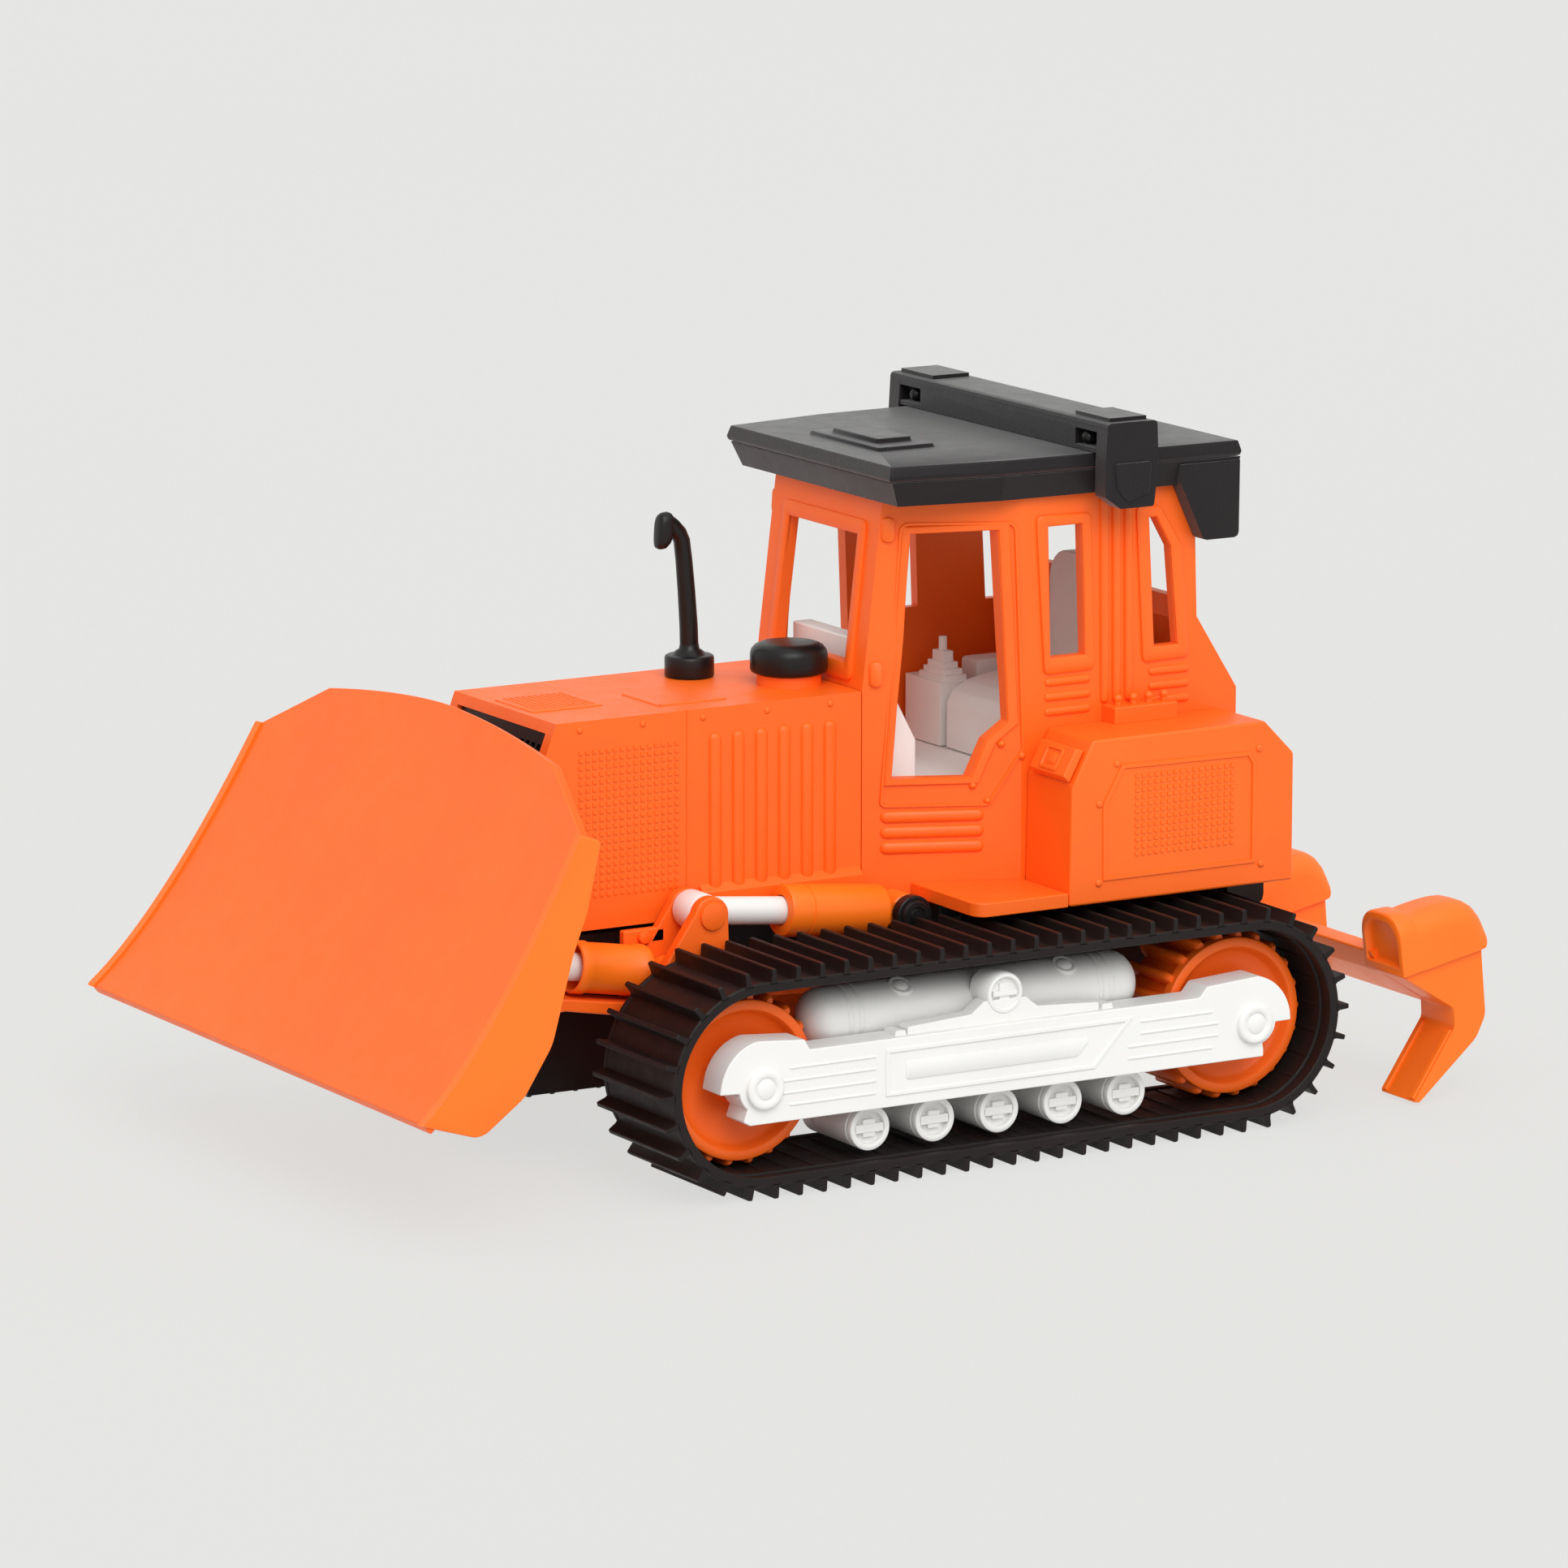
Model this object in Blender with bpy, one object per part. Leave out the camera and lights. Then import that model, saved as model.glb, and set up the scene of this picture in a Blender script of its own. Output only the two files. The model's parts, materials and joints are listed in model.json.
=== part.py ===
"""Toy bulldozer: a moulded plastic crawler with a lifting blade and a ripper.

The origin is on the ground under the middle of the machine. +Z is up, the blade
faces -Y and the machine's left side is +X. Every length below is in millimetres,
and the mesh helpers turn it into metres.
"""

import math

import bmesh
import bpy
from mathutils import Matrix, Vector

MM = 0.001
GAP = 0.3  # air between pieces that touch

# Running gear
AXLE_Z = 31.0
FRONT_AXLE_Y = -64.0
REAR_AXLE_Y = 94.8
BELT_Z = 31.9
BELT_OUTER_R = 28.1
BELT_THICKNESS = 2.5
GROUSER_HEIGHT = 3.8
GROUSER_COUNT = 64
BELT_X = (50.0, 88.5)
WHEEL_X = (54.0, 77.0)
WHEEL_DISC_R = 22.3
WHEEL_DRUM_R = 20.6
WHEEL_TOOTH_R = 24.4
WHEEL_TEETH = 22
AXLE_R = 2.0
RUNNING_GAP = 0.25
BAR_X = (78.0, 88.0)
BAR_Z = (21.0, 40.2)
ROLLER_R = 6.3
ROLLER_PITCH = 20.8
ROLLER_MIDDLE_Y = 14.5
ROLLER_COUNT = 5
TANK_R = 9.0
TANK_Y = (-41.5, 66.0)

# Chassis and body
CHASSIS_HALF_WIDTH = 25.0
DECK_Z = (62.0, 65.7)
HOOD_HALF_WIDTH = 29.0
HOOD_TOP = 124.5
HOOD_BOTTOM = 66.0
HOOD_FRONT_Y = -100.5
HOOD_WALL = 2.6
EXHAUST_XY = (-15.5, -27.5)
CLEANER_XY = (8.0, -9.0)
CAB_HALF_WIDTH = 46.0
CAB_BOTTOM = 66.0
CAB_TOP = 179.0
CAB_WALL = 3.0
CAB_FRONT_Y = 2.3
CAB_KNEE_Z = 125.0
CAB_FRONT_TOP_Y = 8.8
DOOR_END_Y = 44.0
CAB_REAR_Y = 115.6
SIDE_BOX_X = 70.0
SIDE_BOX_Y = (45.0, 119.5)
SIDE_BOX_TOP = 112.5
STEP_Z = (66.0, 70.0)
ROOF_TOP = 189.5
ROOF_SEAM = 184.9
ROOF_UNDER = 178.0
ROOF_FRONT_Y = 1.5
ROOF_BEND_Y = 35.5
ROOF_REAR_Y = 112.8
ROOF_HALF_WIDTHS = (45.0, 50.6, 52.2)
LIGHT_BAR_Y = (64.0, 80.5)
LIGHT_BAR_X = 58.0
CAB_FLOOR_Z = 95.0

# Blade and its linkage, as (Y, Z) points of the pivots
LIFT_PIVOT = (-10.0, 40.0)
ROD_PIN = (-57.0, 70.5)
BARREL_PIN = (8.0, 63.8)
PITCH_PIVOT = (-147.0, 49.5)
TILT_BARREL_PIN = (-65.0, 54.0)
TILT_ROD_PIN = (-138.0, 66.0)
LINK_X = 39.5
BLADE_FOOT = (-175.0, 36.2)
BLADE_CREST = (-116.7, 121.7)
BLADE_THICKNESS = 3.4
BLADE_HALF_WIDTH_FOOT = 100.3
BLADE_HALF_WIDTH_TOP = 94.5
BLADE_WING_Z = 107.3
BLADE_CORNER_X = 65.0
BLADE_ARCH = 5.5
CYLINDER_R = 7.35
ROD_R = 3.9

# Ripper
RIPPER_PIVOT = (118.0, 48.0)
SHANK_X = 78.8
HEAD_WIDTH = 19.5

COLOURS = {
    "body_orange": ((0.98, 0.17, 0.03), 0.38),
    "blade_orange": ((1.0, 0.21, 0.045), 0.34),
    "cylinder_orange": ((1.0, 0.2, 0.02), 0.36),
    "roof_black": ((0.024, 0.021, 0.022), 0.6),
    "gloss_black": ((0.012, 0.011, 0.011), 0.35),
    "track_rubber": ((0.018, 0.013, 0.012), 0.75),
    "frame_white": ((0.86, 0.86, 0.84), 0.45),
    "cab_grey": ((0.6, 0.57, 0.54), 0.5),
    "steel": ((0.6, 0.6, 0.62), 0.3),
}


# ---------------------------------------------------------------- helpers


def clear_scene():
    for obj in list(bpy.data.objects):
        bpy.data.objects.remove(obj)


def material(name):
    found = bpy.data.materials.get(name)
    if found:
        return found
    colour, roughness = COLOURS[name]
    made = bpy.data.materials.new(name)
    made.use_nodes = True
    shader = made.node_tree.nodes["Principled BSDF"]
    shader.inputs["Base Color"].default_value = (*colour, 1.0)
    shader.inputs["Roughness"].default_value = roughness
    shader.inputs["Metallic"].default_value = 1.0 if name == "steel" else 0.0
    return made


def finish(name, bm, colour, origin=(0.0, 0.0, 0.0)):
    """Turns a bmesh in millimetres into an object in metres with its origin at a given point."""
    bmesh.ops.connect_verts_nonplanar(bm, angle_limit=0.001, faces=bm.faces)
    bmesh.ops.recalc_face_normals(bm, faces=bm.faces)
    for vert in bm.verts:
        vert.co = (vert.co - Vector(origin)) * MM
    mesh = bpy.data.meshes.new(name)
    bm.to_mesh(mesh)
    bm.free()
    mesh.shade_smooth()
    mesh.set_sharp_from_angle(angle=math.radians(32))
    mesh.materials.append(material(colour))
    obj = bpy.data.objects.new(name, mesh)
    obj.location = Vector(origin) * MM
    bpy.context.scene.collection.objects.link(obj)
    return obj


def place(axis, along, u, v):
    return {"X": (along, u, v), "Y": (u, along, v), "Z": (u, v, along)}[axis]


def loft(outline_a, outline_b):
    """A closed solid between two outlines of 3-D points that match one to one."""
    bm = bmesh.new()
    ring_a = [bm.verts.new(p) for p in outline_a]
    ring_b = [bm.verts.new(p) for p in outline_b]
    bm.faces.new(ring_a)
    bm.faces.new(list(reversed(ring_b)))
    count = len(ring_a)
    for i in range(count):
        j = (i + 1) % count
        bm.faces.new((ring_a[j], ring_a[i], ring_b[i], ring_b[j]))
    return bm


def prism(outline, axis, low, high):
    """The outline's two numbers are the other two axes, in X, Y, Z order."""
    return loft(
        [place(axis, low, u, v) for u, v in outline],
        [place(axis, high, u, v) for u, v in outline],
    )


def box(x, y, z):
    return prism([(x[0], y[0]), (x[1], y[0]), (x[1], y[1]), (x[0], y[1])], "Z", *z)


def revolve(profile, axis, centre, segments=24):
    """Turns a profile of (radius, along) points about an axis. A profile that starts
    and ends on the axis makes a solid; any other profile closes on itself as a ring."""
    bm = bmesh.new()
    rings = []
    for radius, along in profile:
        if radius < 1e-6:
            rings.append([bm.verts.new(place(axis, along, *centre))])
            continue
        ring = []
        for i in range(segments):
            angle = 2 * math.pi * i / segments
            u = centre[0] + radius * math.cos(angle)
            v = centre[1] + radius * math.sin(angle)
            ring.append(bm.verts.new(place(axis, along, u, v)))
        rings.append(ring)
    pairs = list(zip(rings, rings[1:]))
    if len(rings[0]) > 1:
        pairs.append((rings[-1], rings[0]))
    for a, b in pairs:
        for i in range(segments):
            j = (i + 1) % segments
            corners = [a[i % len(a)], a[j % len(a)], b[j % len(b)], b[i % len(b)]]
            bm.faces.new(list(dict.fromkeys(corners)))
    return bm


def cylinder(axis, centre, radius, low, high, segments=24):
    return revolve(
        [(0, low), (radius, low), (radius, high), (0, high)], axis, centre, segments
    )


def rounded(points, radius, steps=4):
    """The outline with each corner replaced by an arc. radius is one number or one per corner."""
    radii = radius if isinstance(radius, (list, tuple)) else [radius] * len(points)
    result = []
    for i, corner in enumerate(points):
        here = Vector(corner)
        back = (Vector(points[i - 1]) - here).normalized()
        ahead = (Vector(points[(i + 1) % len(points)]) - here).normalized()
        half = back.angle(ahead) / 2
        if radii[i] <= 0 or abs(half - math.pi / 2) < 1e-3:
            result.append(tuple(here))
            continue
        centre = here + (back + ahead).normalized() * radii[i] / math.sin(half)
        start = here + back * radii[i] / math.tan(half) - centre
        end = here + ahead * radii[i] / math.tan(half) - centre
        sweep = start.angle_signed(end)
        for k in range(steps + 1):
            spoke = start.copy()
            spoke.rotate(Matrix.Rotation(-sweep * k / steps, 2))
            result.append(tuple(centre + spoke))
    return result


def arc(centre, radius, start, end, steps):
    """Points on an arc, with angles in degrees."""
    points = []
    for k in range(steps + 1):
        angle = math.radians(start + (end - start) * k / steps)
        u = centre[0] + radius * math.cos(angle)
        v = centre[1] + radius * math.sin(angle)
        points.append((u, v))
    return points


def combine(target, bm, operation, solver="EXACT"):
    """Adds or cuts a bmesh in millimetres, and keeps the result as the target's own mesh."""
    tool = finish("tool", bm, "steel")
    modifier = target.modifiers.new("combine", "BOOLEAN")
    modifier.operation = operation
    modifier.solver = solver
    modifier.object = tool
    bpy.context.view_layer.update()
    graph = bpy.context.evaluated_depsgraph_get()
    mesh = bpy.data.meshes.new_from_object(target.evaluated_get(graph))
    target.modifiers.clear()
    target.data = mesh
    mesh.materials.clear()
    mesh.materials.append(tool_material(target))
    tool_mesh = tool.data
    bpy.data.objects.remove(tool)
    bpy.data.meshes.remove(tool_mesh)
    mesh.shade_smooth()
    mesh.set_sharp_from_angle(angle=math.radians(32))


def tool_material(target):
    return material(target["colour"])


def solid(name, bm, colour, origin=(0.0, 0.0, 0.0), add=(), cut=(), solver="EXACT"):
    """One sub-part: a base shape with other shapes added to it, then shapes cut from it."""
    obj = finish(name, bm, colour, origin)
    obj["colour"] = colour
    for shape in add:
        combine(obj, shape, "UNION", solver)
    for shape in cut:
        combine(obj, shape, "DIFFERENCE", solver)
    return obj


def mirrored(obj, name):
    """The same piece for the other side of the machine."""
    mesh = obj.data.copy()
    mesh.name = name
    mesh.transform(Matrix.Scale(-1, 4, (1, 0, 0)))
    mesh.flip_normals()
    copy = bpy.data.objects.new(name, mesh)
    copy.location = (-obj.location.x, obj.location.y, obj.location.z)
    copy.rotation_euler = obj.rotation_euler
    copy["colour"] = obj["colour"]
    bpy.context.scene.collection.objects.link(copy)
    return copy


def both_sides(stem, make):
    left = make(f"{stem}_left")
    mirrored(left, f"{stem}_right")


# ---------------------------------------------------------------- running gear


def belt_path(distance, radius):
    """A point on the belt's loop and its outward direction, at a share of the way round."""
    run = REAR_AXLE_Y - FRONT_AXLE_Y
    bend = math.pi * radius
    place_on_loop = distance * 2 * (run + bend)
    if place_on_loop < run:
        return Vector((FRONT_AXLE_Y + place_on_loop, BELT_Z - radius)), Vector((0, -1))
    place_on_loop -= run
    if place_on_loop < bend:
        angle = place_on_loop / radius - math.pi / 2
        out = Vector((math.cos(angle), math.sin(angle)))
        return Vector((REAR_AXLE_Y, BELT_Z)) + out * radius, out
    place_on_loop -= bend
    if place_on_loop < run:
        return Vector((REAR_AXLE_Y - place_on_loop, BELT_Z + radius)), Vector((0, 1))
    place_on_loop -= run
    angle = place_on_loop / radius + math.pi / 2
    out = Vector((math.cos(angle), math.sin(angle)))
    return Vector((FRONT_AXLE_Y, BELT_Z)) + out * radius, out


def track_belt(name):
    """A toothless rubber loop with a thin upright grouser on each pitch."""
    middle_r = BELT_OUTER_R - BELT_THICKNESS / 2
    half = BELT_THICKNESS / 2
    bm = bmesh.new()
    rows = []
    for i in range(GROUSER_COUNT):
        steps = []
        for share, height in ((0, half), (0.38, half), (0.41, 0), (0.59, 0), (0.62, half)):
            point, out = belt_path((i + share) / GROUSER_COUNT, middle_r)
            lift = height if height else half + GROUSER_HEIGHT
            steps.append(point + out * lift)
        point, out = belt_path(i / GROUSER_COUNT, middle_r)
        rows.append((steps, point - out * half))
    rings = []
    for x in BELT_X:
        outer = [[bm.verts.new((x, p.x, p.y)) for p in steps] for steps, _ in rows]
        inner = [bm.verts.new((x, p.x, p.y)) for _, p in rows]
        rings.append((outer, inner))
    for i in range(GROUSER_COUNT):
        j = (i + 1) % GROUSER_COUNT
        for outer, inner in rings:
            start, toe, crest_a, crest_b, heel = outer[i]
            bm.faces.new((start, toe, inner[i]))
            bm.faces.new((toe, heel, inner[j], inner[i]))
            bm.faces.new((heel, outer[j][0], inner[j]))
            bm.faces.new((toe, crest_a, crest_b, heel))
        near, far = rings
        bm.faces.new((near[1][i], near[1][j], far[1][j], far[1][i]))
        crest = [*near[0][i], near[0][j][0]]
        crest_far = [*far[0][i], far[0][j][0]]
        for k in range(len(crest) - 1):
            bm.faces.new((crest[k], crest[k + 1], crest_far[k + 1], crest_far[k]))
    return solid(name, bm, "track_rubber")


def wheel(name, axle_y):
    """A dished disc on a wide drum whose bars carry the belt."""
    centre = (axle_y, AXLE_Z)
    outline = []
    for i in range(WHEEL_TEETH):
        for share, radius in (
            (-0.25, WHEEL_DRUM_R),
            (-0.13, WHEEL_TOOTH_R),
            (0.13, WHEEL_TOOTH_R),
            (0.25, WHEEL_DRUM_R),
        ):
            angle = 2 * math.pi * (i + share) / WHEEL_TEETH
            u = centre[0] + radius * math.cos(angle)
            outline.append((u, centre[1] + radius * math.sin(angle)))
    drum = prism(outline, "X", WHEEL_X[0], WHEEL_X[1] - 2.5)
    disc = cylinder("X", centre, WHEEL_DISC_R, WHEEL_X[1] - 4, WHEEL_X[1], 24)
    dish = revolve(
        [
            (0, WHEEL_X[1] - 2),
            (17, WHEEL_X[1] - 2),
            (19, WHEEL_X[1] + 1),
            (0, WHEEL_X[1] + 1),
        ],
        "X",
        centre,
        24,
    )
    bore = cylinder("X", centre, AXLE_R + RUNNING_GAP, WHEEL_X[0] - 5, WHEEL_X[1] + 5, 12)
    origin = (0.0, axle_y, AXLE_Z)
    return solid(name, drum, "body_orange", origin, add=[disc], cut=[dish, bore])


def axle(name, axle_y):
    reach = BAR_X[1] - 3.0
    return solid(
        name, cylinder("X", (axle_y, AXLE_Z), AXLE_R, -reach, reach, 12), "steel"
    )


def bar_outline():
    """The side beam with a hooded end over each axle."""
    low, high = BAR_Z
    front = FRONT_AXLE_Y
    rear = REAR_AXLE_Y
    hood = high + 2.6
    points = [(front - 6.5, low), (rear + 3.5, low), (rear + 3.5, low + 2)]
    points += arc((rear + 1.0, AXLE_Z), 6.5, -70, -5, 3)
    points += [(rear + 12.6, AXLE_Z - 0.5)]
    points += arc((rear - 1.4, AXLE_Z - 0.5), 14, 12, 78, 5)
    points += [(rear - 15.5, hood), (rear - 18.0, high)]
    points += [(front + 14.6, high), (front + 13.0, hood)]
    points += arc((front + 0.6, AXLE_Z - 0.5), 14, 100, 168, 5)
    points += [(front - 13.6, AXLE_Z - 0.5), (front - 7.5, AXLE_Z - 0.8)]
    points += arc((front - 0.5, AXLE_Z), 7.0, 190, 235, 3)
    return points


def track_frame(name):
    front = (FRONT_AXLE_Y, AXLE_Z)
    rear = (REAR_AXLE_Y, AXLE_Z)
    base = prism(bar_outline(), "X", *BAR_X)
    web = box((BELT_X[0] + 0.5, BAR_X[0] + 1), (-36, 66), (BAR_Z[0] + 0.6, 33.9))
    flange = prism(
        [(-16, 39), (45, 39), (45, 42), (25, 43), (21, 46), (8, 46), (4, 43), (-16, 42)],
        "X",
        80.5,
        84.5,
    )
    carrier = cylinder("X", (14.2, 48.2), 5.8, 78.2, 86.0, 20)
    caps = [cylinder("X", c, 5.6, BAR_X[1] - 1, BAR_X[1] + 1.8, 20) for c in (front, rear)]
    bores = [
        cylinder("X", c, AXLE_R + RUNNING_GAP, BAR_X[0] - 2, BAR_X[1] - 2.5, 12)
        for c in (front, rear)
    ]
    return solid(name, base, "frame_white", add=[web, flange, carrier, *caps], cut=bores)


def roller(name, index):
    y = ROLLER_MIDDLE_Y + ROLLER_PITCH * (index - (ROLLER_COUNT - 1) / 2)
    z = BAR_Z[0] - GAP - ROLLER_R
    face = 82.6
    profile = [(0, 56), (ROLLER_R, 56), (ROLLER_R, face), (0, face)]
    return solid(name, revolve(profile, "X", (y, z), 16), "frame_white")


def tank(name):
    """A long round-ended tank on top of the track frame."""
    z = 33.9 + GAP + TANK_R
    profile = [(0, TANK_Y[0])]
    for k in range(1, 4):
        angle = math.pi / 2 * k / 3
        profile.append((TANK_R * math.sin(angle), TANK_Y[0] + 8 * (1 - math.cos(angle))))
    for k in range(3, 0, -1):
        angle = math.pi / 2 * k / 3
        profile.append((TANK_R * math.sin(angle), TANK_Y[1] - 8 * (1 - math.cos(angle))))
    profile.append((0, TANK_Y[1]))
    shell = revolve(profile, "Y", (68.6, z), 16)
    fillers = [cylinder("Z", (71.5, y), 3.2, z + 4, z + TANK_R + 1.0, 10) for y in (-10.5, 42.0)]
    return solid(name, shell, "frame_white", add=fillers)


# ---------------------------------------------------------------- chassis


def chassis(name):
    side = [(-97, 64), (-97, 40.5), (-107, 36), (-107, 26.5), (-102, 20.6), (100, 19.6), (112, 29), (112, 64)]
    hull = prism(side, "X", -CHASSIS_HALF_WIDTH, CHASSIS_HALF_WIDTH)
    plan = rounded([(-48, 16), (48, 16), (48, 124.5), (-48, 124.5)], [0.5, 0.5, 4, 4], 3)
    plate = prism(plan, "Z", *DECK_Z)
    outrigger = box((-50.2, 50.2), (-2, 54), (22, 33.5))
    corner_side = rounded([(112, 54.4), (124.5, 54.4), (124.5, 63), (112, 63)], [0, 3, 0, 0], 3)
    corners = [prism(corner_side, "X", *sorted((s * 37, s * 48))) for s in (-1, 1)]
    pin_seats = [
        cylinder("X", LIFT_PIVOT, 5.0, s * 24, s * 29.5, 12) for s in (-1, 1)
    ]
    ear_side = [(108, 38), *arc(RIPPER_PIVOT, 5, -60, 90, 4), (108, 57)]
    ears = [prism(ear_side, "X", *sorted((s * 19.5, s * 24.9))) for s in (-1, 1)]
    holes = [
        cylinder("X", (y, AXLE_Z), AXLE_R + RUNNING_GAP, -60, 60, 12)
        for y in (FRONT_AXLE_Y, REAR_AXLE_Y)
    ]
    holes.append(cylinder("X", RIPPER_PIVOT, 2.0 + RUNNING_GAP, -60, 60, 12))
    holes += [
        cylinder("X", LIFT_PIVOT, 2.2 + RUNNING_GAP, s * 22, s * 40, 12) for s in (-1, 1)
    ]
    add = [plate, outrigger, *corners, *pin_seats, *ears]
    return solid(name, hull, "gloss_black", add=add, cut=holes, solver="MANIFOLD")


def frame_pin(name):
    """The stub that a push arm swings on."""
    pin = revolve(
        [(0, 22.5), (2.2, 22.5), (2.2, 46.3), (4.2, 46.3), (4.2, 48.4), (0, 48.4)],
        "X",
        LIFT_PIVOT,
        12,
    )
    return solid(name, pin, "gloss_black")


def cylinder_bracket(name):
    """A black clevis on the deck edge that holds the lift barrel's tail."""
    y, z = BARREL_PIN
    ear = [(y - 5.4, 50), (y + 5.4, 50), *arc(BARREL_PIN, 5.5, -10, 190, 6)]
    inner = box((30.0, 34.2), (y - 5.2, y + 5.2), (50, CAB_BOTTOM - 0.5))
    outer = prism(ear, "X", 44.8, 48.4)
    foot = box((CHASSIS_HALF_WIDTH + GAP, 48.4), (y - 5.4, y + 5.4), (46.5, 51))
    pin = cylinder("X", BARREL_PIN, 2.2, 33, 46, 12)
    return solid(name, inner, "gloss_black", add=[outer, foot, pin])


# ---------------------------------------------------------------- body


def hood_side():
    """The hood's outline in the (Y, Z) plane."""
    return [
        (-95.0, HOOD_TOP),
        (HOOD_FRONT_Y, 110.0),
        (HOOD_FRONT_Y, 68.0),
        (HOOD_FRONT_Y + 2, HOOD_BOTTOM),
        (CAB_FRONT_Y - GAP, HOOD_BOTTOM),
        (CAB_FRONT_Y - GAP, HOOD_TOP),
    ]


def hood_shell(name):
    outer = prism(hood_side(), "X", -HOOD_HALF_WIDTH, HOOD_HALF_WIDTH)
    inside = [
        (-93.0, HOOD_TOP - HOOD_WALL),
        (HOOD_FRONT_Y + 3.2, 109.4),
        (HOOD_FRONT_Y + 3.2, HOOD_BOTTOM - 5),
        (CAB_FRONT_Y + 5, HOOD_BOTTOM - 5),
        (CAB_FRONT_Y + 5, HOOD_TOP - HOOD_WALL),
    ]
    half = HOOD_HALF_WIDTH - HOOD_WALL
    cavity = prism(inside, "X", -half, half)
    mouth = box((-25.1, 25.1), (-110, -90), (71, 121.4))
    neck = cylinder("Z", CLEANER_XY, 9.1, HOOD_TOP - 1, HOOD_TOP + 3.0, 24)
    ledges = [
        prism([(s * 28.5, 75.5), (s * 31.2, 73.0), (s * 31.2, 70.0), (s * 28.5, 70.0)], "Y", -50, 1.5)
        for s in (-1, 1)
    ]
    return solid(name, outer, "body_orange", add=[neck, *ledges], cut=[cavity, mouth])


def radiator_grille(name):
    """A plate of upright slats that sits in the hood's mouth."""
    y = HOOD_FRONT_Y + 1.2
    plate = [(y, 71.3), (y + 3.0, 71.3), (y + 3.0, 110), (y + 7.0, 121.1), (y + 4.6, 121.1), (y, 109.6)]
    base = prism(plate, "X", -24.8, 24.8)
    slots = [
        box((x - 0.9, x + 0.9), (y - 2, y + 10), (75, 110)) for x in range(-20, 21, 4)
    ]
    return solid(name, base, "gloss_black", cut=slots)


def exhaust_stack(name):
    """A flanged pipe with a flat mouth turned forwards."""
    x, y = EXHAUST_XY
    z = HOOD_TOP + GAP
    flange = [(0, z), (7, z), (7, z + 5.4), (6.2, z + 6.2), (2.9, z + 6.2), (2.6, z + 9)]
    pipe = revolve([*flange, (2.3, z + 38.5), (0, z + 38.5)], "Z", (x, y), 14)
    top = z + 37.5
    elbow = loft(
        [(x + 2.2 * c, y + 2.2 * s, top - 1) for c, s in arc((0, 0), 1, 0, 315, 7)],
        [(x + 2.3 * c, y - 6.5 + 1.9 * s, top + 7.5 + 1.2 * s) for c, s in arc((0, 0), 1, 0, 315, 7)],
    )
    mouth_side = rounded(
        [(y - 10.2, top - 1.5), (y - 7.2, top - 1.5), (y - 5.2, top + 9.6), (y - 9.2, top + 9.6)],
        1.0,
        2,
    )
    mouth = prism(mouth_side, "X", x - 2.6, x + 2.6)
    return solid(name, pipe, "gloss_black", add=[elbow, mouth])


def precleaner_cap(name):
    z = HOOD_TOP + 3.0 + GAP
    profile = [(0, z), (10.2, z), (10.9, z + 0.9), (10.9, z + 5.0), (9.8, z + 7.2), (7, z + 8.2), (0, z + 8.6)]
    return solid(name, revolve(profile, "Z", CLEANER_XY, 24), "gloss_black")


def cab_plan(front_y, inset=0.0):
    """The cab's outline in the (X, Y) plane, pulled in by a wall's thickness."""
    narrow = HOOD_HALF_WIDTH - inset * 1.15
    wide = CAB_HALF_WIDTH - inset
    half = [
        (narrow, front_y + inset),
        (wide, DOOR_END_Y + inset * 0.3),
        (wide, CAB_REAR_Y - inset),
    ]
    return half + [(-x, y) for x, y in reversed(half)]


def cab_rear_cut():
    """What the cab's rear wall leaves free above the engine deck, as a (Y, Z) outline."""
    return [(100, 200), (102, 139.4), (CAB_REAR_Y, 118), (140, 118), (140, 200)]


def cab_shell(name):
    low = [(x, y, CAB_BOTTOM) for x, y in cab_plan(CAB_FRONT_Y)]
    knee = [(x, y, CAB_KNEE_Z) for x, y in cab_plan(CAB_FRONT_Y)]
    top = [(x, y, CAB_TOP) for x, y in cab_plan(CAB_FRONT_TOP_Y)]
    over = CAB_WALL
    low_in = [(x, y, CAB_BOTTOM - 5) for x, y in cab_plan(CAB_FRONT_Y, over)]
    knee_in = [(x, y, CAB_KNEE_Z) for x, y in cab_plan(CAB_FRONT_Y, over)]
    rise = (CAB_TOP + 5 - CAB_KNEE_Z) / (CAB_TOP - CAB_KNEE_Z)
    top_y = CAB_FRONT_Y + (CAB_FRONT_TOP_Y - CAB_FRONT_Y) * rise
    top_in = [(x, y, CAB_TOP + 5) for x, y in cab_plan(top_y, over)]
    shell = solid(name, through_rings(low, knee, top), "body_orange")
    combine(shell, prism(cab_rear_cut(), "X", -60, 60), "DIFFERENCE")
    hollow = solid("hollow", through_rings(low_in, knee_in, top_in), "steel")
    inner_cut = [(y - over, z - over * 0.5) for y, z in cab_rear_cut()]
    combine(hollow, prism(inner_cut, "X", -60, 60), "DIFFERENCE")
    subtract_object(shell, hollow)
    for window in cab_windows():
        combine(shell, window, "DIFFERENCE")
    return shell


def through_rings(*outlines):
    """A solid through a row of matching outlines."""
    bm = bmesh.new()
    rings = [[bm.verts.new(p) for p in ring] for ring in outlines]
    bm.faces.new(rings[0])
    bm.faces.new(list(reversed(rings[-1])))
    for low, high in zip(rings, rings[1:]):
        for i in range(len(low)):
            j = (i + 1) % len(low)
            bm.faces.new((low[j], low[i], high[i], high[j]))
    return bm


def subtract_object(target, tool):
    bm = bmesh.new()
    bm.from_mesh(tool.data)
    for vert in bm.verts:
        vert.co = vert.co / MM
    tool_mesh = tool.data
    bpy.data.objects.remove(tool)
    bpy.data.meshes.remove(tool_mesh)
    combine(target, bm, "DIFFERENCE")


def door_window():
    """The door's window as a (Y, Z) outline."""
    return [(15.3, 168.2), (37.4, 169), (40.2, 115.0), (34.7, 110.0), (30.6, 99.4), (9.8, 99.4)]


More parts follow.
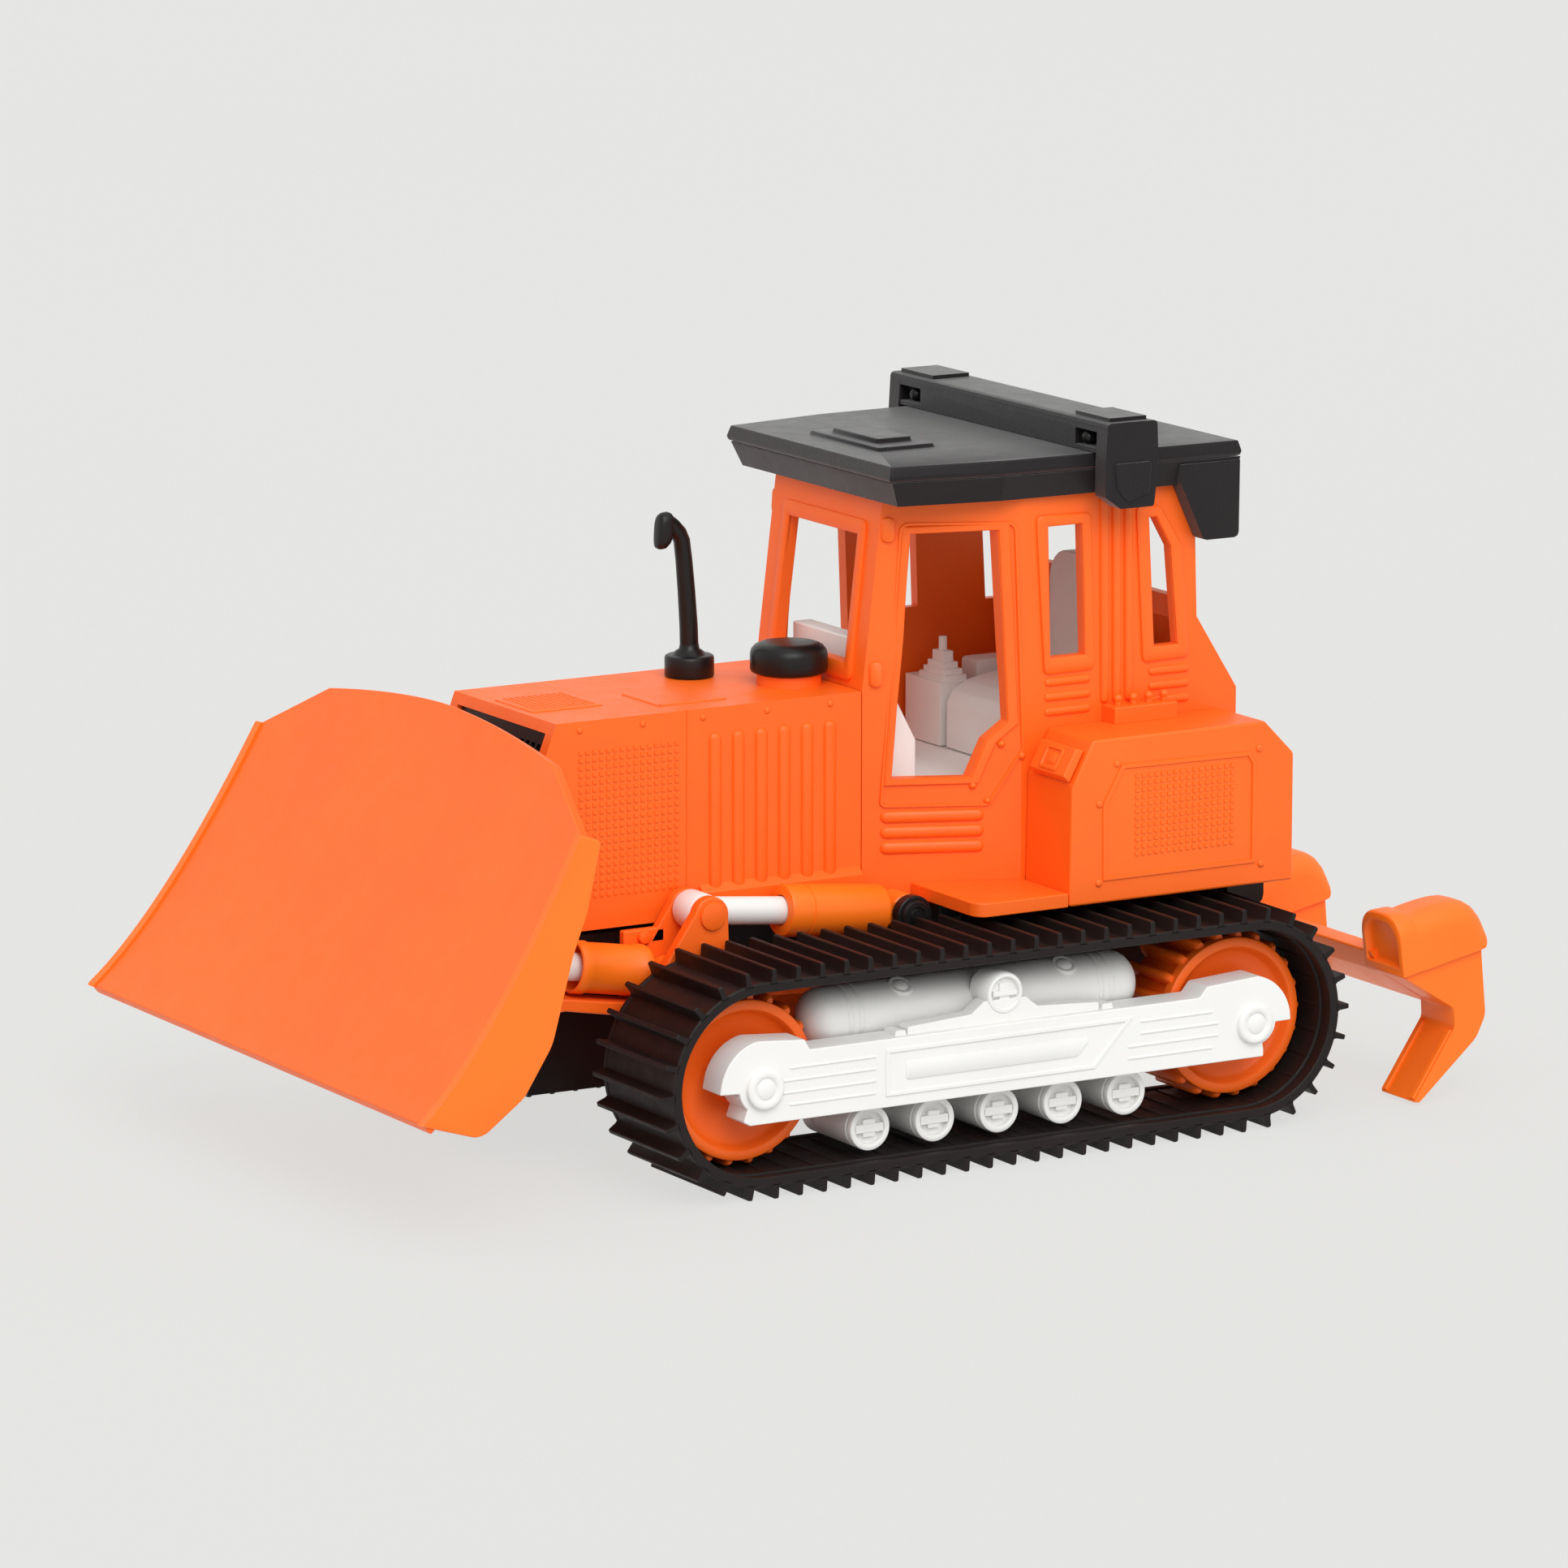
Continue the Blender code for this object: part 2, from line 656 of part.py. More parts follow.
def cab_windows():
    windshield = prism([(-19.3, 131.3), (19.3, 131.3), (18.9, 167), (-18.9, 167)], "Y", -10, 25)
    windows = [windshield]
    middle = [(52.0, 169.1), (63.0, 169.1), (64.4, 132), (53.0, 132)]
    rear_side = [(85.4, 169), (87.6, 169), (92.6, 160.2), (95.2, 132.2), (87.4, 132.2)]
    for s in (-1, 1):
        for outline in (door_window(), middle, rear_side):
            windows.append(prism(outline, "X", *sorted((s * 28.0, s * 60.0))))
    windows.append(prism([(-36, 144.3), (36, 144.3), (35, 171), (-35, 171)], "Y", 90, 130))
    return windows


def side_box(name):
    """The storage box beside the cab: a shell open underneath."""
    y0, y1 = SIDE_BOX_Y
    side = [(y0, STEP_Z[0]), (y0 + 0.7, 100), (y0 + 7.6, SIDE_BOX_TOP), (y1 - 9.8, SIDE_BOX_TOP), (y1, 102.6), (y1, STEP_Z[0])]
    outer = prism(side, "X", CAB_HALF_WIDTH + GAP, SIDE_BOX_X)
    wall = 2.6
    inside = [
        (y0 + wall, STEP_Z[0] - 3),
        (y0 + wall + 0.7, 99.4),
        (y0 + wall + 6.3, SIDE_BOX_TOP - wall),
        (y1 - wall - 8.3, SIDE_BOX_TOP - wall),
        (y1 - wall, 101.6),
        (y1 - wall, STEP_Z[0] - 3),
    ]
    cavity = prism(inside, "X", CAB_HALF_WIDTH + GAP + wall, SIDE_BOX_X - wall)
    return solid(name, outer, "body_orange", cut=[cavity])


def side_lamp(name):
    """A plain lamp housing on the side box's sloping corner."""
    y0 = SIDE_BOX_Y[0]
    slope = Vector((6.9, SIDE_BOX_TOP - 100)).normalized()
    out = Vector((-slope.y, slope.x))
    foot = Vector((y0 + 0.9, 100.6)) + out * GAP
    corners = [foot, foot + slope * 10.2, foot + slope * 9.4 + out * 2.8, foot + slope * 0.8 + out * 2.8]
    housing = prism([tuple(c) for c in corners], "X", 50.5, 68.5)
    return solid(name, housing, "body_orange")


def step_plate(name):
    outline = rounded([(29.5, 15), (70, 15), (70, 44.7), (46.3, 44.7), (46.3, 43.6)], [0.4, 4, 0.4, 0, 0], 4)
    plan = [(x, y) for x, y in outline]
    plate = prism(plan, "Z", *STEP_Z)
    cab_side = prism([(25, 0), (29.3, 2.6), (46.3, 44.0), (46.3, 60), (25, 60)], "Z", 60, 80)
    return solid(name, plate, "body_orange", cut=[cab_side])


def roof_outline(shrink_front=0.0, shrink_side=0.0, rear=ROOF_REAR_Y):
    front_w, bend_w, rear_w = ROOF_HALF_WIDTHS
    half = [
        (front_w - shrink_side, ROOF_FRONT_Y + shrink_front),
        (bend_w - shrink_side, ROOF_BEND_Y),
        (rear_w - shrink_side, rear),
    ]
    return half + [(-x, y) for x, y in reversed(half)]


def roof_top(name):
    low = [(x, y, ROOF_SEAM + GAP) for x, y in roof_outline(0.6, 0.6, ROOF_REAR_Y - 0.4)]
    middle = [(x, y, ROOF_SEAM + 1.4) for x, y in roof_outline()]
    top = [(x, y, ROOF_TOP) for x, y in roof_outline(1.0, 0.9, ROOF_REAR_Y - 0.8)]
    pads = [
        prism(rounded([(-19, 13.5), (19, 13.5), (19, 32), (-19, 32)], 1.0, 2), "Z", ROOF_TOP - 1, ROOF_TOP + 1.1),
        prism(rounded([(-12.5, 17), (12.5, 17), (12.5, 28.5), (-12.5, 28.5)], 1.0, 2), "Z", ROOF_TOP - 1, ROOF_TOP + 2.5),
    ]
    return solid(name, through_rings(low, middle, top), "roof_black", add=pads)


def roof_base(name):
    top = [(x, y, ROOF_SEAM) for x, y in roof_outline(1.2, 0.8, ROOF_REAR_Y - 0.2)]
    low = [(x, y, ROOF_UNDER) for x, y in roof_outline(4.0, 2.6, ROOF_REAR_Y - 1.0)]
    shell = loft(low, top)
    visor_side = rounded([(92.6, 179), (100.5, 162), (112.2, 162), (112.4, 184), (92.6, 184)], [0, 1.5, 1.5, 0, 0], 2)
    visors = [prism(visor_side, "X", *sorted((s * 46.3, s * 51.6))) for s in (-1, 1)]
    seat = [
        (x, y, CAB_TOP + GAP)
        for x, y in cab_plan(CAB_FRONT_TOP_Y - 0.4, -GAP)[:2] + [(CAB_HALF_WIDTH + GAP, 101)]
        + [(-CAB_HALF_WIDTH - GAP, 101)] + cab_plan(CAB_FRONT_TOP_Y - 0.4, -GAP)[4:]
    ]
    socket = loft([(x, y, ROOF_UNDER - 5) for x, y, _ in seat], seat)
    return solid(name, shell, "roof_black", add=visors, cut=[socket])


def light_bar(name):
    """The lamp carrier across the roof, with ends folded down over the roof's edges."""
    y0, y1 = LIGHT_BAR_Y
    z0 = ROOF_TOP + GAP
    top = 198.6
    beam = prism(
        rounded([(y0, z0), (y1, z0), (y1, top), (y0, top)], [0, 0, 1.2, 1.2], 2),
        "X",
        -LIGHT_BAR_X,
        LIGHT_BAR_X,
    )
    end_side = [(y0 - 0.6, 178), (y0 + 4.5, 174.4), (y1 - 1, 174.4), (y1 + 0.4, 186), (y1, 197), (y0, 197), (y0 - 0.6, 187)]
    add = []
    for s in (-1, 1):
        x = sorted((s * (ROOF_HALF_WIDTHS[2] + 0.5), s * LIGHT_BAR_X))
        add.append(prism(rounded(end_side, 0.8, 2), "X", *x))
        pad = box(sorted((s * 38, s * 55.5)), (y0 + 2.2, y1 - 2.2), (top - 1, top + 1.1))
        add.append(pad)
    cut = [box(sorted((s * 41.4, s * 52.4)), (y0 - 2, y0 + 3.0), (191.0, 195.6)) for s in (-1, 1)]
    return solid(name, beam, "roof_black", add=add, cut=cut)


def roof_lamp(name):
    ball = revolve(
        [(0, 63.9), (1.4, 64.3), (2.0, 65.4), (2.0, 66.7), (0, 66.7)], "Y", (46.0, 193.3), 16
    )
    return solid(name, ball, "gloss_black")


# ---------------------------------------------------------------- cab interior


def cab_floor(name):
    plan = cab_plan(CAB_FRONT_Y, CAB_WALL + GAP)
    return solid(name, prism(plan, "Z", CAB_FLOOR_Z - 3, CAB_FLOOR_Z), "cab_grey")


def seat(name):
    """A crowned cushion with an upright back that is rounded at the top."""
    z = CAB_FLOOR_Z + GAP
    side = [(58.5, z), (93.5, z), (93.5, 118), (72, 116), (65, 114.6), (60.5, 112.2), (58.5, 108.5)]
    cushion = prism(rounded(side, [0.5, 0.5, 0.5, 4, 4, 2, 2], 2), "X", -17.5, 17.5)
    front = rounded([(-11.5, 112), (11.5, 112), (11.5, 152.1), (-11.5, 152.1)], [0, 0, 8.8, 8.8], 6)
    return solid(name, cushion, "cab_grey", add=[prism(front, "Y", 89.3, 94.3)])


def armrest(name):
    """A box beside the seat, behind the pedestal."""
    low, high = CAB_FLOOR_Z + GAP, 118.2
    side = rounded([(73.4, low), (90, low), (90, high), (73.4, high)], [0.5, 0.5, 1.5, 1], 2)
    return solid(name, prism(side, "X", -33.5, -25), "cab_grey")


def control_console(name):
    """A pedestal with a stepped boot and its stick, moulded in one piece."""
    x, y, z = -27.8, 63.6, 113.7
    base = box((-39.5, -20.5), (58.2, 67.8), (CAB_FLOOR_Z + GAP, z))
    boot = [
        box((x - r, x + r), (y - r * 0.6, y + r * 0.6), (z - 1, z + h))
        for r, h in ((6.6, 1.6), (5.4, 3.2), (4.2, 5.0), (2.9, 8.0))
    ]
    stick = cylinder("Z", (x, y), 1.2, z, z + 12.0, 12)
    return solid(name, base, "cab_grey", add=[*boot, stick])


def dashboard(name):
    z = CAB_FLOOR_Z + GAP
    side = [(10, z), (23, z), (23, 108), (16, 121), (16, 136), (10, 136)]
    return solid(name, prism(side, "X", -22, 24), "cab_grey")


# ---------------------------------------------------------------- blade and linkage


def blade_face(z):
    """The blade's front profile: Y at a height, on a cubic curve from foot to crest."""
    foot, crest = Vector(BLADE_FOOT), Vector(BLADE_CREST)
    lower = foot + Vector((0.77, 0.64)) * 25
    upper = crest - Vector((0.45, 0.893)) * 40
    if z > crest.y:
        return crest.x + (z - crest.y) * 0.5
    low, high = 0.0, 1.0
    for _ in range(30):
        t = (low + high) / 2
        height = bezier(foot.y, lower.y, upper.y, crest.y, t)
        low, high = (t, high) if height < z else (low, t)
    return bezier(foot.x, lower.x, upper.x, crest.x, low)


def bezier(a, b, c, d, t):
    s = 1 - t
    return a * s**3 + 3 * b * s * s * t + 3 * c * s * t * t + d * t**3


def blade_half_width(z):
    share = min(1.0, (z - BLADE_FOOT[1]) / (BLADE_WING_Z - BLADE_FOOT[1]))
    return BLADE_HALF_WIDTH_FOOT + (BLADE_HALF_WIDTH_TOP - BLADE_HALF_WIDTH_FOOT) * share


def blade_top(u):
    """The top edge's height at a share of the half width: an arch, then a cut corner."""
    x = abs(u) * BLADE_HALF_WIDTH_TOP
    if x <= BLADE_CORNER_X:
        return BLADE_CREST[1] + BLADE_ARCH * (1 - (x / BLADE_CORNER_X) ** 1.7)
    share = (x - BLADE_CORNER_X) / (BLADE_HALF_WIDTH_TOP - BLADE_CORNER_X)
    return BLADE_CREST[1] + (BLADE_WING_Z - BLADE_CREST[1]) * share


def blade_plate():
    """The curved pushing plate as a grid of points, front and back."""
    columns = [-1, -BLADE_CORNER_X / BLADE_HALF_WIDTH_TOP, -0.35, 0]
    columns += [-c for c in reversed(columns[:-1])]
    rows = 9
    bm = bmesh.new()
    front, back = [], []
    for u in columns:
        front_line, back_line = [], []
        for k in range(rows):
            z = BLADE_FOOT[1] + (blade_top(u) - BLADE_FOOT[1]) * k / (rows - 1)
            x = u * (blade_half_width(z) - 1.5)
            slope = (blade_face(z + 0.5) - blade_face(z - 0.5 if k else z)) / (1.0 if k else 0.5)
            normal = Vector((1, -slope)).normalized() * BLADE_THICKNESS
            y = blade_face(z) + 0.8
            front_line.append(bm.verts.new((x, y, z)))
            back_line.append(bm.verts.new((x, y + normal.x, z + normal.y)))
        front.append(front_line)
        back.append(back_line)
    last_u, last_k = len(columns) - 1, rows - 1
    for i in range(last_u):
        for k in range(last_k):
            bm.faces.new((front[i][k], front[i + 1][k], front[i + 1][k + 1], front[i][k + 1]))
            bm.faces.new((back[i][k], back[i][k + 1], back[i + 1][k + 1], back[i + 1][k]))
        for k in (0, last_k):
            bm.faces.new((front[i][k], front[i + 1][k], back[i + 1][k], back[i][k]))
    for i in (0, last_u):
        for k in range(last_k):
            bm.faces.new((front[i][k], front[i][k + 1], back[i][k + 1], back[i][k]))
    return bm


def blade_cheek(side):
    """The end plate, wider at its foot, which leans with the blade's edge."""
    heights = [BLADE_WING_Z + 0.8 - (BLADE_WING_Z + 0.8 - BLADE_FOOT[1]) * k / 8 for k in range(9)]
    outline = [(blade_face(z), z) for z in heights]
    heel = [(-157.7, 30.9), (-144.3, 40.2), (-135.1, 53.3), (-127.5, 76.8), (-122.7, 87.7), (-117.6, 106.0)]
    outline += rounded([(-175, 36.2), *heel, (-124, 108)], [0, 5, 6, 12, 20, 0, 1, 0], 3)[1:-1]
    bm = prism(outline, "X", -3.2, 0.0)
    for vert in bm.verts:
        vert.co.x += blade_half_width(vert.co.z)
        vert.co.x *= side
    return bm


def blade(name):
    """The blade turns about the pitch pivot. Its brackets take the arms and the tilt rods."""
    origin = (0.0, *PITCH_PIVOT)
    y, z = PITCH_PIVOT
    bracket = [
        (blade_face(41) + 3.0, 41.5),
        *arc(PITCH_PIVOT, 5.2, -90, 20, 4),
        *arc(TILT_ROD_PIN, 4.8, -40, 100, 5),
        (blade_face(72) + 3.0, 72.5),
        (blade_face(60) + 3.0, 60),
        (blade_face(50) + 3.0, 50),
    ]
    add = [blade_cheek(1), blade_cheek(-1)]
    for s in (-1, 1):
        for near, far in ((31.3, 34.9), (44.1, 47.7)):
            add.append(prism(bracket, "X", *sorted((s * near, s * far))))
        add.append(cylinder("X", PITCH_PIVOT, 2.0, *sorted((s * 33, s * 46)), 12))
        add.append(cylinder("X", TILT_ROD_PIN, 2.0, *sorted((s * 33, s * 46)), 12))
    return solid(name, blade_plate(), "blade_orange", origin, add=add)


def lever_outline():
    return [
        (-51.0, 44.2),
        *arc(ROD_PIN, 5.3, -10, 165, 6),
        (-72.4, 57.0),
        (-73.6, 49.6),
        (-76.0, 47.4),
        (-80.0, 47.2),
        (-80.0, 44.2),
    ]


def arm_outline():
    """The push arm from its pivot forwards to the blade's lower bracket."""
    top = [(-52, 46.4), (-70, 47.4), (-76, 47.6), (-80, 48.1), (-100, 51.4), (-130, 53.6)]
    under = [(-130, 46.4), (-118, 47.4), (-101, 48.1), (-84, 45.0), (-74, 43.4), (-69, 42.6)]
    over_axle = [(-68.2, 44.0), (-61.2, 44.0), (-60.4, 39.7), (-50, 38.2)]
    return [*arc(LIFT_PIVOT, 4.6, -98, 82, 5), *top, *under, *over_axle]


def push_frame(name):
    """Two arms, the cross member that joins them and the upright levers for the cylinders."""
    add, cut = [], []
    y_tip, z_tip = PITCH_PIVOT
    nose = [(-124, 53.0), (-124, 46.6), (y_tip + 2, z_tip - 3.9), *arc(PITCH_PIVOT, 4.4, 260, 100, 5)]
    for s in (-1, 1):
        if s == 1:
            add.append(prism(arm_outline(), "X", -45, -34))
        add.append(prism(nose, "X", *sorted((s * 35.4, s * 43.6))))
        add.append(box(sorted((s * 31.3, s * 48.2)), (-79, -52), (44.2, 47.2)))
        for near, far in ((31.3, 34.4), (44.6, 48.2)):
            add.append(prism(lever_outline(), "X", *sorted((s * near, s * far))))
        add.append(cylinder("X", ROD_PIN, 2.2, *sorted((s * 33, s * 46)), 12))
        add.append(cylinder("X", TILT_BARREL_PIN, 2.0, *sorted((s * 33, s * 46)), 12))
        add.append(box(sorted((s * 31.6, s * 34.4)), (-77, -64), (61.6, 65.8)))
        cut.append(cylinder("X", LIFT_PIVOT, 2.2 + RUNNING_GAP, *sorted((s * 32, s * 50)), 12))
        cut.append(cylinder("X", PITCH_PIVOT, 2.0 + RUNNING_GAP, *sorted((s * 32, s * 50)), 12))
    add.append(box((-36, 36), (-129.5, -124), (47.0, 53.0)))
    add.append(box((-30.8, 30.8), (-139, -124), (45.6, 54.4)))
    arm = prism(arm_outline(), "X", 34, 45)
    return solid(name, arm, "body_orange", (0.0, *LIFT_PIVOT), add, cut, "MANIFOLD")


def along_link(start, end):
    """The turn about X that points a piece's own -Y from one pivot to another."""
    return -math.atan2(end[1] - start[1], -(end[0] - start[0]))


def link_piece(name, bm, colour, pivot, turn, cut=(), add=()):
    """A piece drawn along -Y from a pivot at the origin, then turned into place."""
    obj = solid(name, bm, colour, add=add, cut=cut)
    obj.location = (LINK_X * MM, pivot[0] * MM, pivot[1] * MM)
    obj.rotation_euler = (turn, 0.0, 0.0)
    return obj


def barrel(name, pivot, target, radius, front, tail, eye_r, eye_half, mouth=0.0):
    """A hydraulic barrel: an eye on its pin, a closed tail and a bored, open front. A
    mouth is how deep the wide part of the bore goes."""
    body = revolve(
        [(0, -front), (radius, -front), (radius, -tail), (0, -tail)], "Y", (0, 0), 18
    )
    neck = box((-eye_half, eye_half), (-tail - 1.5, 0), (-3.2, 3.2))
    eye = cylinder("X", (0, 0), eye_r, -eye_half, eye_half, 16)
    bore = cylinder("Y", (0, 0), ROD_R + RUNNING_GAP, -front - 2, -tail - 3, 14)
    pin_hole = cylinder("X", (0, 0), 2.2 + RUNNING_GAP, -eye_half - 2, eye_half + 2, 12)
    cut = [bore, pin_hole]
    if mouth:
        cut.append(cylinder("Y", (0, 0), radius - 1.0, -front - 2, -front + mouth, 18))
    turn = along_link(pivot, target)
    return link_piece(name, body, "cylinder_orange", pivot, turn, cut, [neck, eye])


def rod(name, pivot, target, length, eye_r, eye_half, slack):
    """A white rod drawn back from its eye. The eye's hole leaves the slack of an open pivot."""
    shaft = cylinder("Y", (0, 0), ROD_R, 1.5, length, 14)
    eye = cylinder("X", (0, 0), eye_r, -eye_half, eye_half, 16)
    hole = cylinder("X", (0, 0), 2.2 + slack, -eye_half - 2, eye_half + 2, 12)
    turn = along_link(target, pivot)
    return link_piece(name, shaft, "frame_white", pivot, turn, [hole], [eye])


def lift_barrel(name):
    return barrel(name, BARREL_PIN, ROD_PIN, CYLINDER_R, 38.6, 6.6, 5.2, 4.5)


def lift_rod(name):
    return rod(name, ROD_PIN, BARREL_PIN, 50.5, 5.4, 4.7, 0.6)


def tilt_barrel(name):
    return barrel(name, TILT_BARREL_PIN, TILT_ROD_PIN, CYLINDER_R, 32.0, 9.2, 4.2, 4.5, 6.0)


def tilt_rod(name):
    return rod(name, TILT_ROD_PIN, TILT_BARREL_PIN, 54.0, 4.2, 4.0, 0.6)


# ---------------------------------------------------------------- ripper


def ripper_head(x):
    """A head with an arched top: rings across X, each from a bottom to a top (Y, Z) point."""
    spines = [
        ((145.2, 38.4), (142.9, 55.2)),
        ((146.2, 38.5), (143.9, 55.9)),
        ((150.0, 39.3), (149.2, 56.1)),
        ((150.8, 39.5), (150.0, 55.5)),
        ((157.5, 40.7), (158.6, 57.2)),
        ((163.0, 41.8), (166.0, 57.7)),
        ((168.0, 42.7), (170.8, 56.0)),
        ((171.4, 43.4), (174.0, 51.4)),
        ((173.2, 43.8), (174.8, 47.0)),
    ]
    return through_rings(*(arch_ring(x, foot, top, HEAD_WIDTH / 2, 7.0) for foot, top in spines))


def arch_ring(x, foot, top, half, corner, steps=4):
    foot, top = Vector(foot), Vector(top)
    height = (top - foot).length
    up = (top - foot) / height
    r = min(corner, height * 0.8)
    ring = [(x - half, *foot), (x + half, *foot)]
    for centre, start in ((half - r, 0), (r - half, 90)):
        for px, pz in arc((centre, height - r), r, start, start + 90, steps):
            ring.append((x + px, *(foot + up * pz)))
    return ring


def claw_outline():
    corners = [(147.0, 41.0), (147.0, 37.5), (163.4, 27.2), (164.0, 21.5), (150.3, 1.3), (152.4, 1.0)]
    corners += [(171.8, 17.6), (174.95, 24.0), (173.0, 44.2), (165, 46)]
    return rounded(corners, [0, 0, 2, 3, 0, 0, 8, 6, 0, 0], 3)


def claw_channel():
    """The shallow groove down the front of a claw."""
    return [(165.4, 18.1), (155.3, 3.2), (151.5, 5.8), (161.6, 20.7)]


def ripper(name):
    """Three hooked shanks on one beam that swings behind the chassis."""
    beam = prism([(144.5, 43.3), (148.5, 36.5), (165.6, 25.6), (168.3, 28.6), (157, 38.5), (151.6, 43.6)], "X", -SHANK_X, SHANK_X)
    add, cut = [], []
    for x in (-SHANK_X, 0.0, SHANK_X):
        add.append(ripper_head(x))
        add.append(prism(claw_outline(), "X", x - 8.3, x + 8.3))
        socket = [arch_ring(x, (y + 0.3, 40.4), (y - 1.6, 53.2), HEAD_WIDTH / 2 - 2, 6.0, 3) for y in (135, 147)]
        cut.append(through_rings(*socket))
        cut.append(prism(claw_channel(), "X", x - 5.4, x + 5.4))
    arm_side = [*arc(RIPPER_PIVOT, 5.0, 110, 260, 6), (148, 37.6), (150.6, 40.5), (147, 43.0)]
    for s in (-1, 1):
        add.append(prism(arm_side, "X", *sorted((s * 25.4, s * 31.0))))
        cut.append(cylinder("X", RIPPER_PIVOT, 2.0 + RUNNING_GAP, *sorted((s * 22, s * 40)), 12))
    return solid(name, beam, "body_orange", (0.0, *RIPPER_PIVOT), add, cut, "MANIFOLD")


def ripper_pin(name):
    return solid(name, cylinder("X", RIPPER_PIVOT, 2.0, -32.5, 32.5, 12), "steel")


# ---------------------------------------------------------------- assembly


def build():
    clear_scene()
    chassis("chassis")
    hood_shell("hood_shell")
    radiator_grille("radiator_grille")
    exhaust_stack("exhaust_stack")
    precleaner_cap("precleaner_cap")
    cab_shell("cab_shell")
    roof_base("roof_base")
    roof_top("roof_top")
    light_bar("light_bar")
    cab_floor("cab_floor")
    seat("seat")
    armrest("armrest")
    control_console("control_console")
    dashboard("dashboard")
    blade("blade")
    push_frame("push_frame")
    ripper("ripper")
    ripper_pin("ripper_pin")
    for stem, axle_y in (("front", FRONT_AXLE_Y), ("rear", REAR_AXLE_Y)):
        axle(f"{stem}_axle", axle_y)
        both_sides(f"{stem}_wheel", lambda name, y=axle_y: wheel(name, y))
    for i in range(ROLLER_COUNT):
        both_sides(f"track_roller_{i + 1}", lambda name, k=i: roller(name, k))
    for stem, make in (
        ("track_belt", track_belt),
        ("track_frame", track_frame),
        ("tank", tank),
        ("side_box", side_box),
        ("side_lamp", side_lamp),
        ("step_plate", step_plate),
        ("roof_lamp", roof_lamp),
        ("frame_pin", frame_pin),
        ("cylinder_bracket", cylinder_bracket),
        ("lift_barrel", lift_barrel),
        ("lift_rod", lift_rod),
        ("tilt_barrel", tilt_barrel),
        ("tilt_rod", tilt_rod),
    ):
        both_sides(stem, make)


build()
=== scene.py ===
"""Visible model of the toy bulldozer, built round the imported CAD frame."""

import json
import math

import bmesh
import bpy
from mathutils import Matrix, Vector
from mathutils.bvhtree import BVHTree


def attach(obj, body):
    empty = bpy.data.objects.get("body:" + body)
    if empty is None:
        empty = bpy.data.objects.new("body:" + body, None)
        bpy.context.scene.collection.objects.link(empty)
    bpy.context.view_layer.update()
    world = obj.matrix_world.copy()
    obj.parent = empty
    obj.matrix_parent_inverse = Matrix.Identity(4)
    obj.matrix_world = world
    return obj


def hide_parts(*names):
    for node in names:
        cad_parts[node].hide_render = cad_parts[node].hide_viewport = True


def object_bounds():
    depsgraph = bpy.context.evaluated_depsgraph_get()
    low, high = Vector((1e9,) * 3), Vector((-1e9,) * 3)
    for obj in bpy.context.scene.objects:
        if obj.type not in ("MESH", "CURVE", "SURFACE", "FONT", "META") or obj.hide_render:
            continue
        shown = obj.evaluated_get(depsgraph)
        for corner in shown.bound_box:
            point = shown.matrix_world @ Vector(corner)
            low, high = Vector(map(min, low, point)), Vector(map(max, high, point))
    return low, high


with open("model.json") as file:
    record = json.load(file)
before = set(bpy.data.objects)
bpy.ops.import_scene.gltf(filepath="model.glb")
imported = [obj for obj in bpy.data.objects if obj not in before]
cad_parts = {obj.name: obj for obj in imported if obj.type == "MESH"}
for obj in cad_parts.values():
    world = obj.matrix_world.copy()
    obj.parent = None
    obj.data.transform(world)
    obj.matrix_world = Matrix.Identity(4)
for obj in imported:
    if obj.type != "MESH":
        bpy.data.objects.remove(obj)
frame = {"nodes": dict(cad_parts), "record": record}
CAD_LOW, CAD_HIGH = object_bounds()
NODES = frame["nodes"]
BODY_OF = {
    node: body
    for body, members in frame["record"]["behaviour"]["bodies"].items()
    for node in members
}

MM = 0.001
AXLE_Z, FRONT_Y, REAR_Y = 31.0, -64.0, 94.8
SIDES = (("left", 1), ("right", -1))


# ---------------------------------------------------------------- materials


class Nodes:
    """Short calls for a material's node tree."""

    def __init__(self, name):
        self.material = bpy.data.materials.new(name)
        self.material.use_nodes = True
        self.tree = self.material.node_tree
        self.shader = self.tree.nodes["Principled BSDF"]
        self.coords = self.add("ShaderNodeTexCoord", {}).outputs["Object"]

    def add(self, kind, inputs, **values):
        node = self.tree.nodes.new(kind)
        for key, value in values.items():
            setattr(node, key, value)
        self.fill(node, inputs)
        return node

    def fill(self, node, inputs):
        for key, value in inputs.items():
            node.inputs[key].default_value = value

    def link(self, a, b):
        self.tree.links.new(a, b)

    def feed(self, **sockets):
        """Connects sockets to the shader's inputs, with _ for a space in an input's name."""
        for key, socket in sockets.items():
            self.link(socket, self.shader.inputs[key.replace("_", " ")])

    def noise(self, scale, detail=3.0, roughness=0.55):
        node = self.add("ShaderNodeTexNoise", {"Scale": scale, "Detail": detail, "Roughness": roughness})
        self.link(self.coords, node.inputs["Vector"])
        return node.outputs["Fac"]

    def ramp(self, source, first, second):
        """Stretches a noise's middle range over first to second."""
        limits = {"From Min": 0.3, "From Max": 0.7, "To Min": first, "To Max": second}
        node = self.add("ShaderNodeMapRange", limits)
        self.link(source, node.inputs["Value"])
        return node.outputs["Result"]

    def mix(self, factor, first, second):
        node = self.add("ShaderNodeMix", {}, data_type="RGBA")
        self.fill(node, {"A": (*first, 1), "B": (*second, 1)})
        self.link(factor, node.inputs["Factor"])
        return node.outputs["Result"]

    def bump(self, height, strength, distance, before=None):
        node = self.add("ShaderNodeBump", {"Strength": strength, "Distance": distance})
        self.link(height, node.inputs["Height"])
        if before is not None:
            self.link(before, node.inputs["Normal"])
        return node.outputs["Normal"]


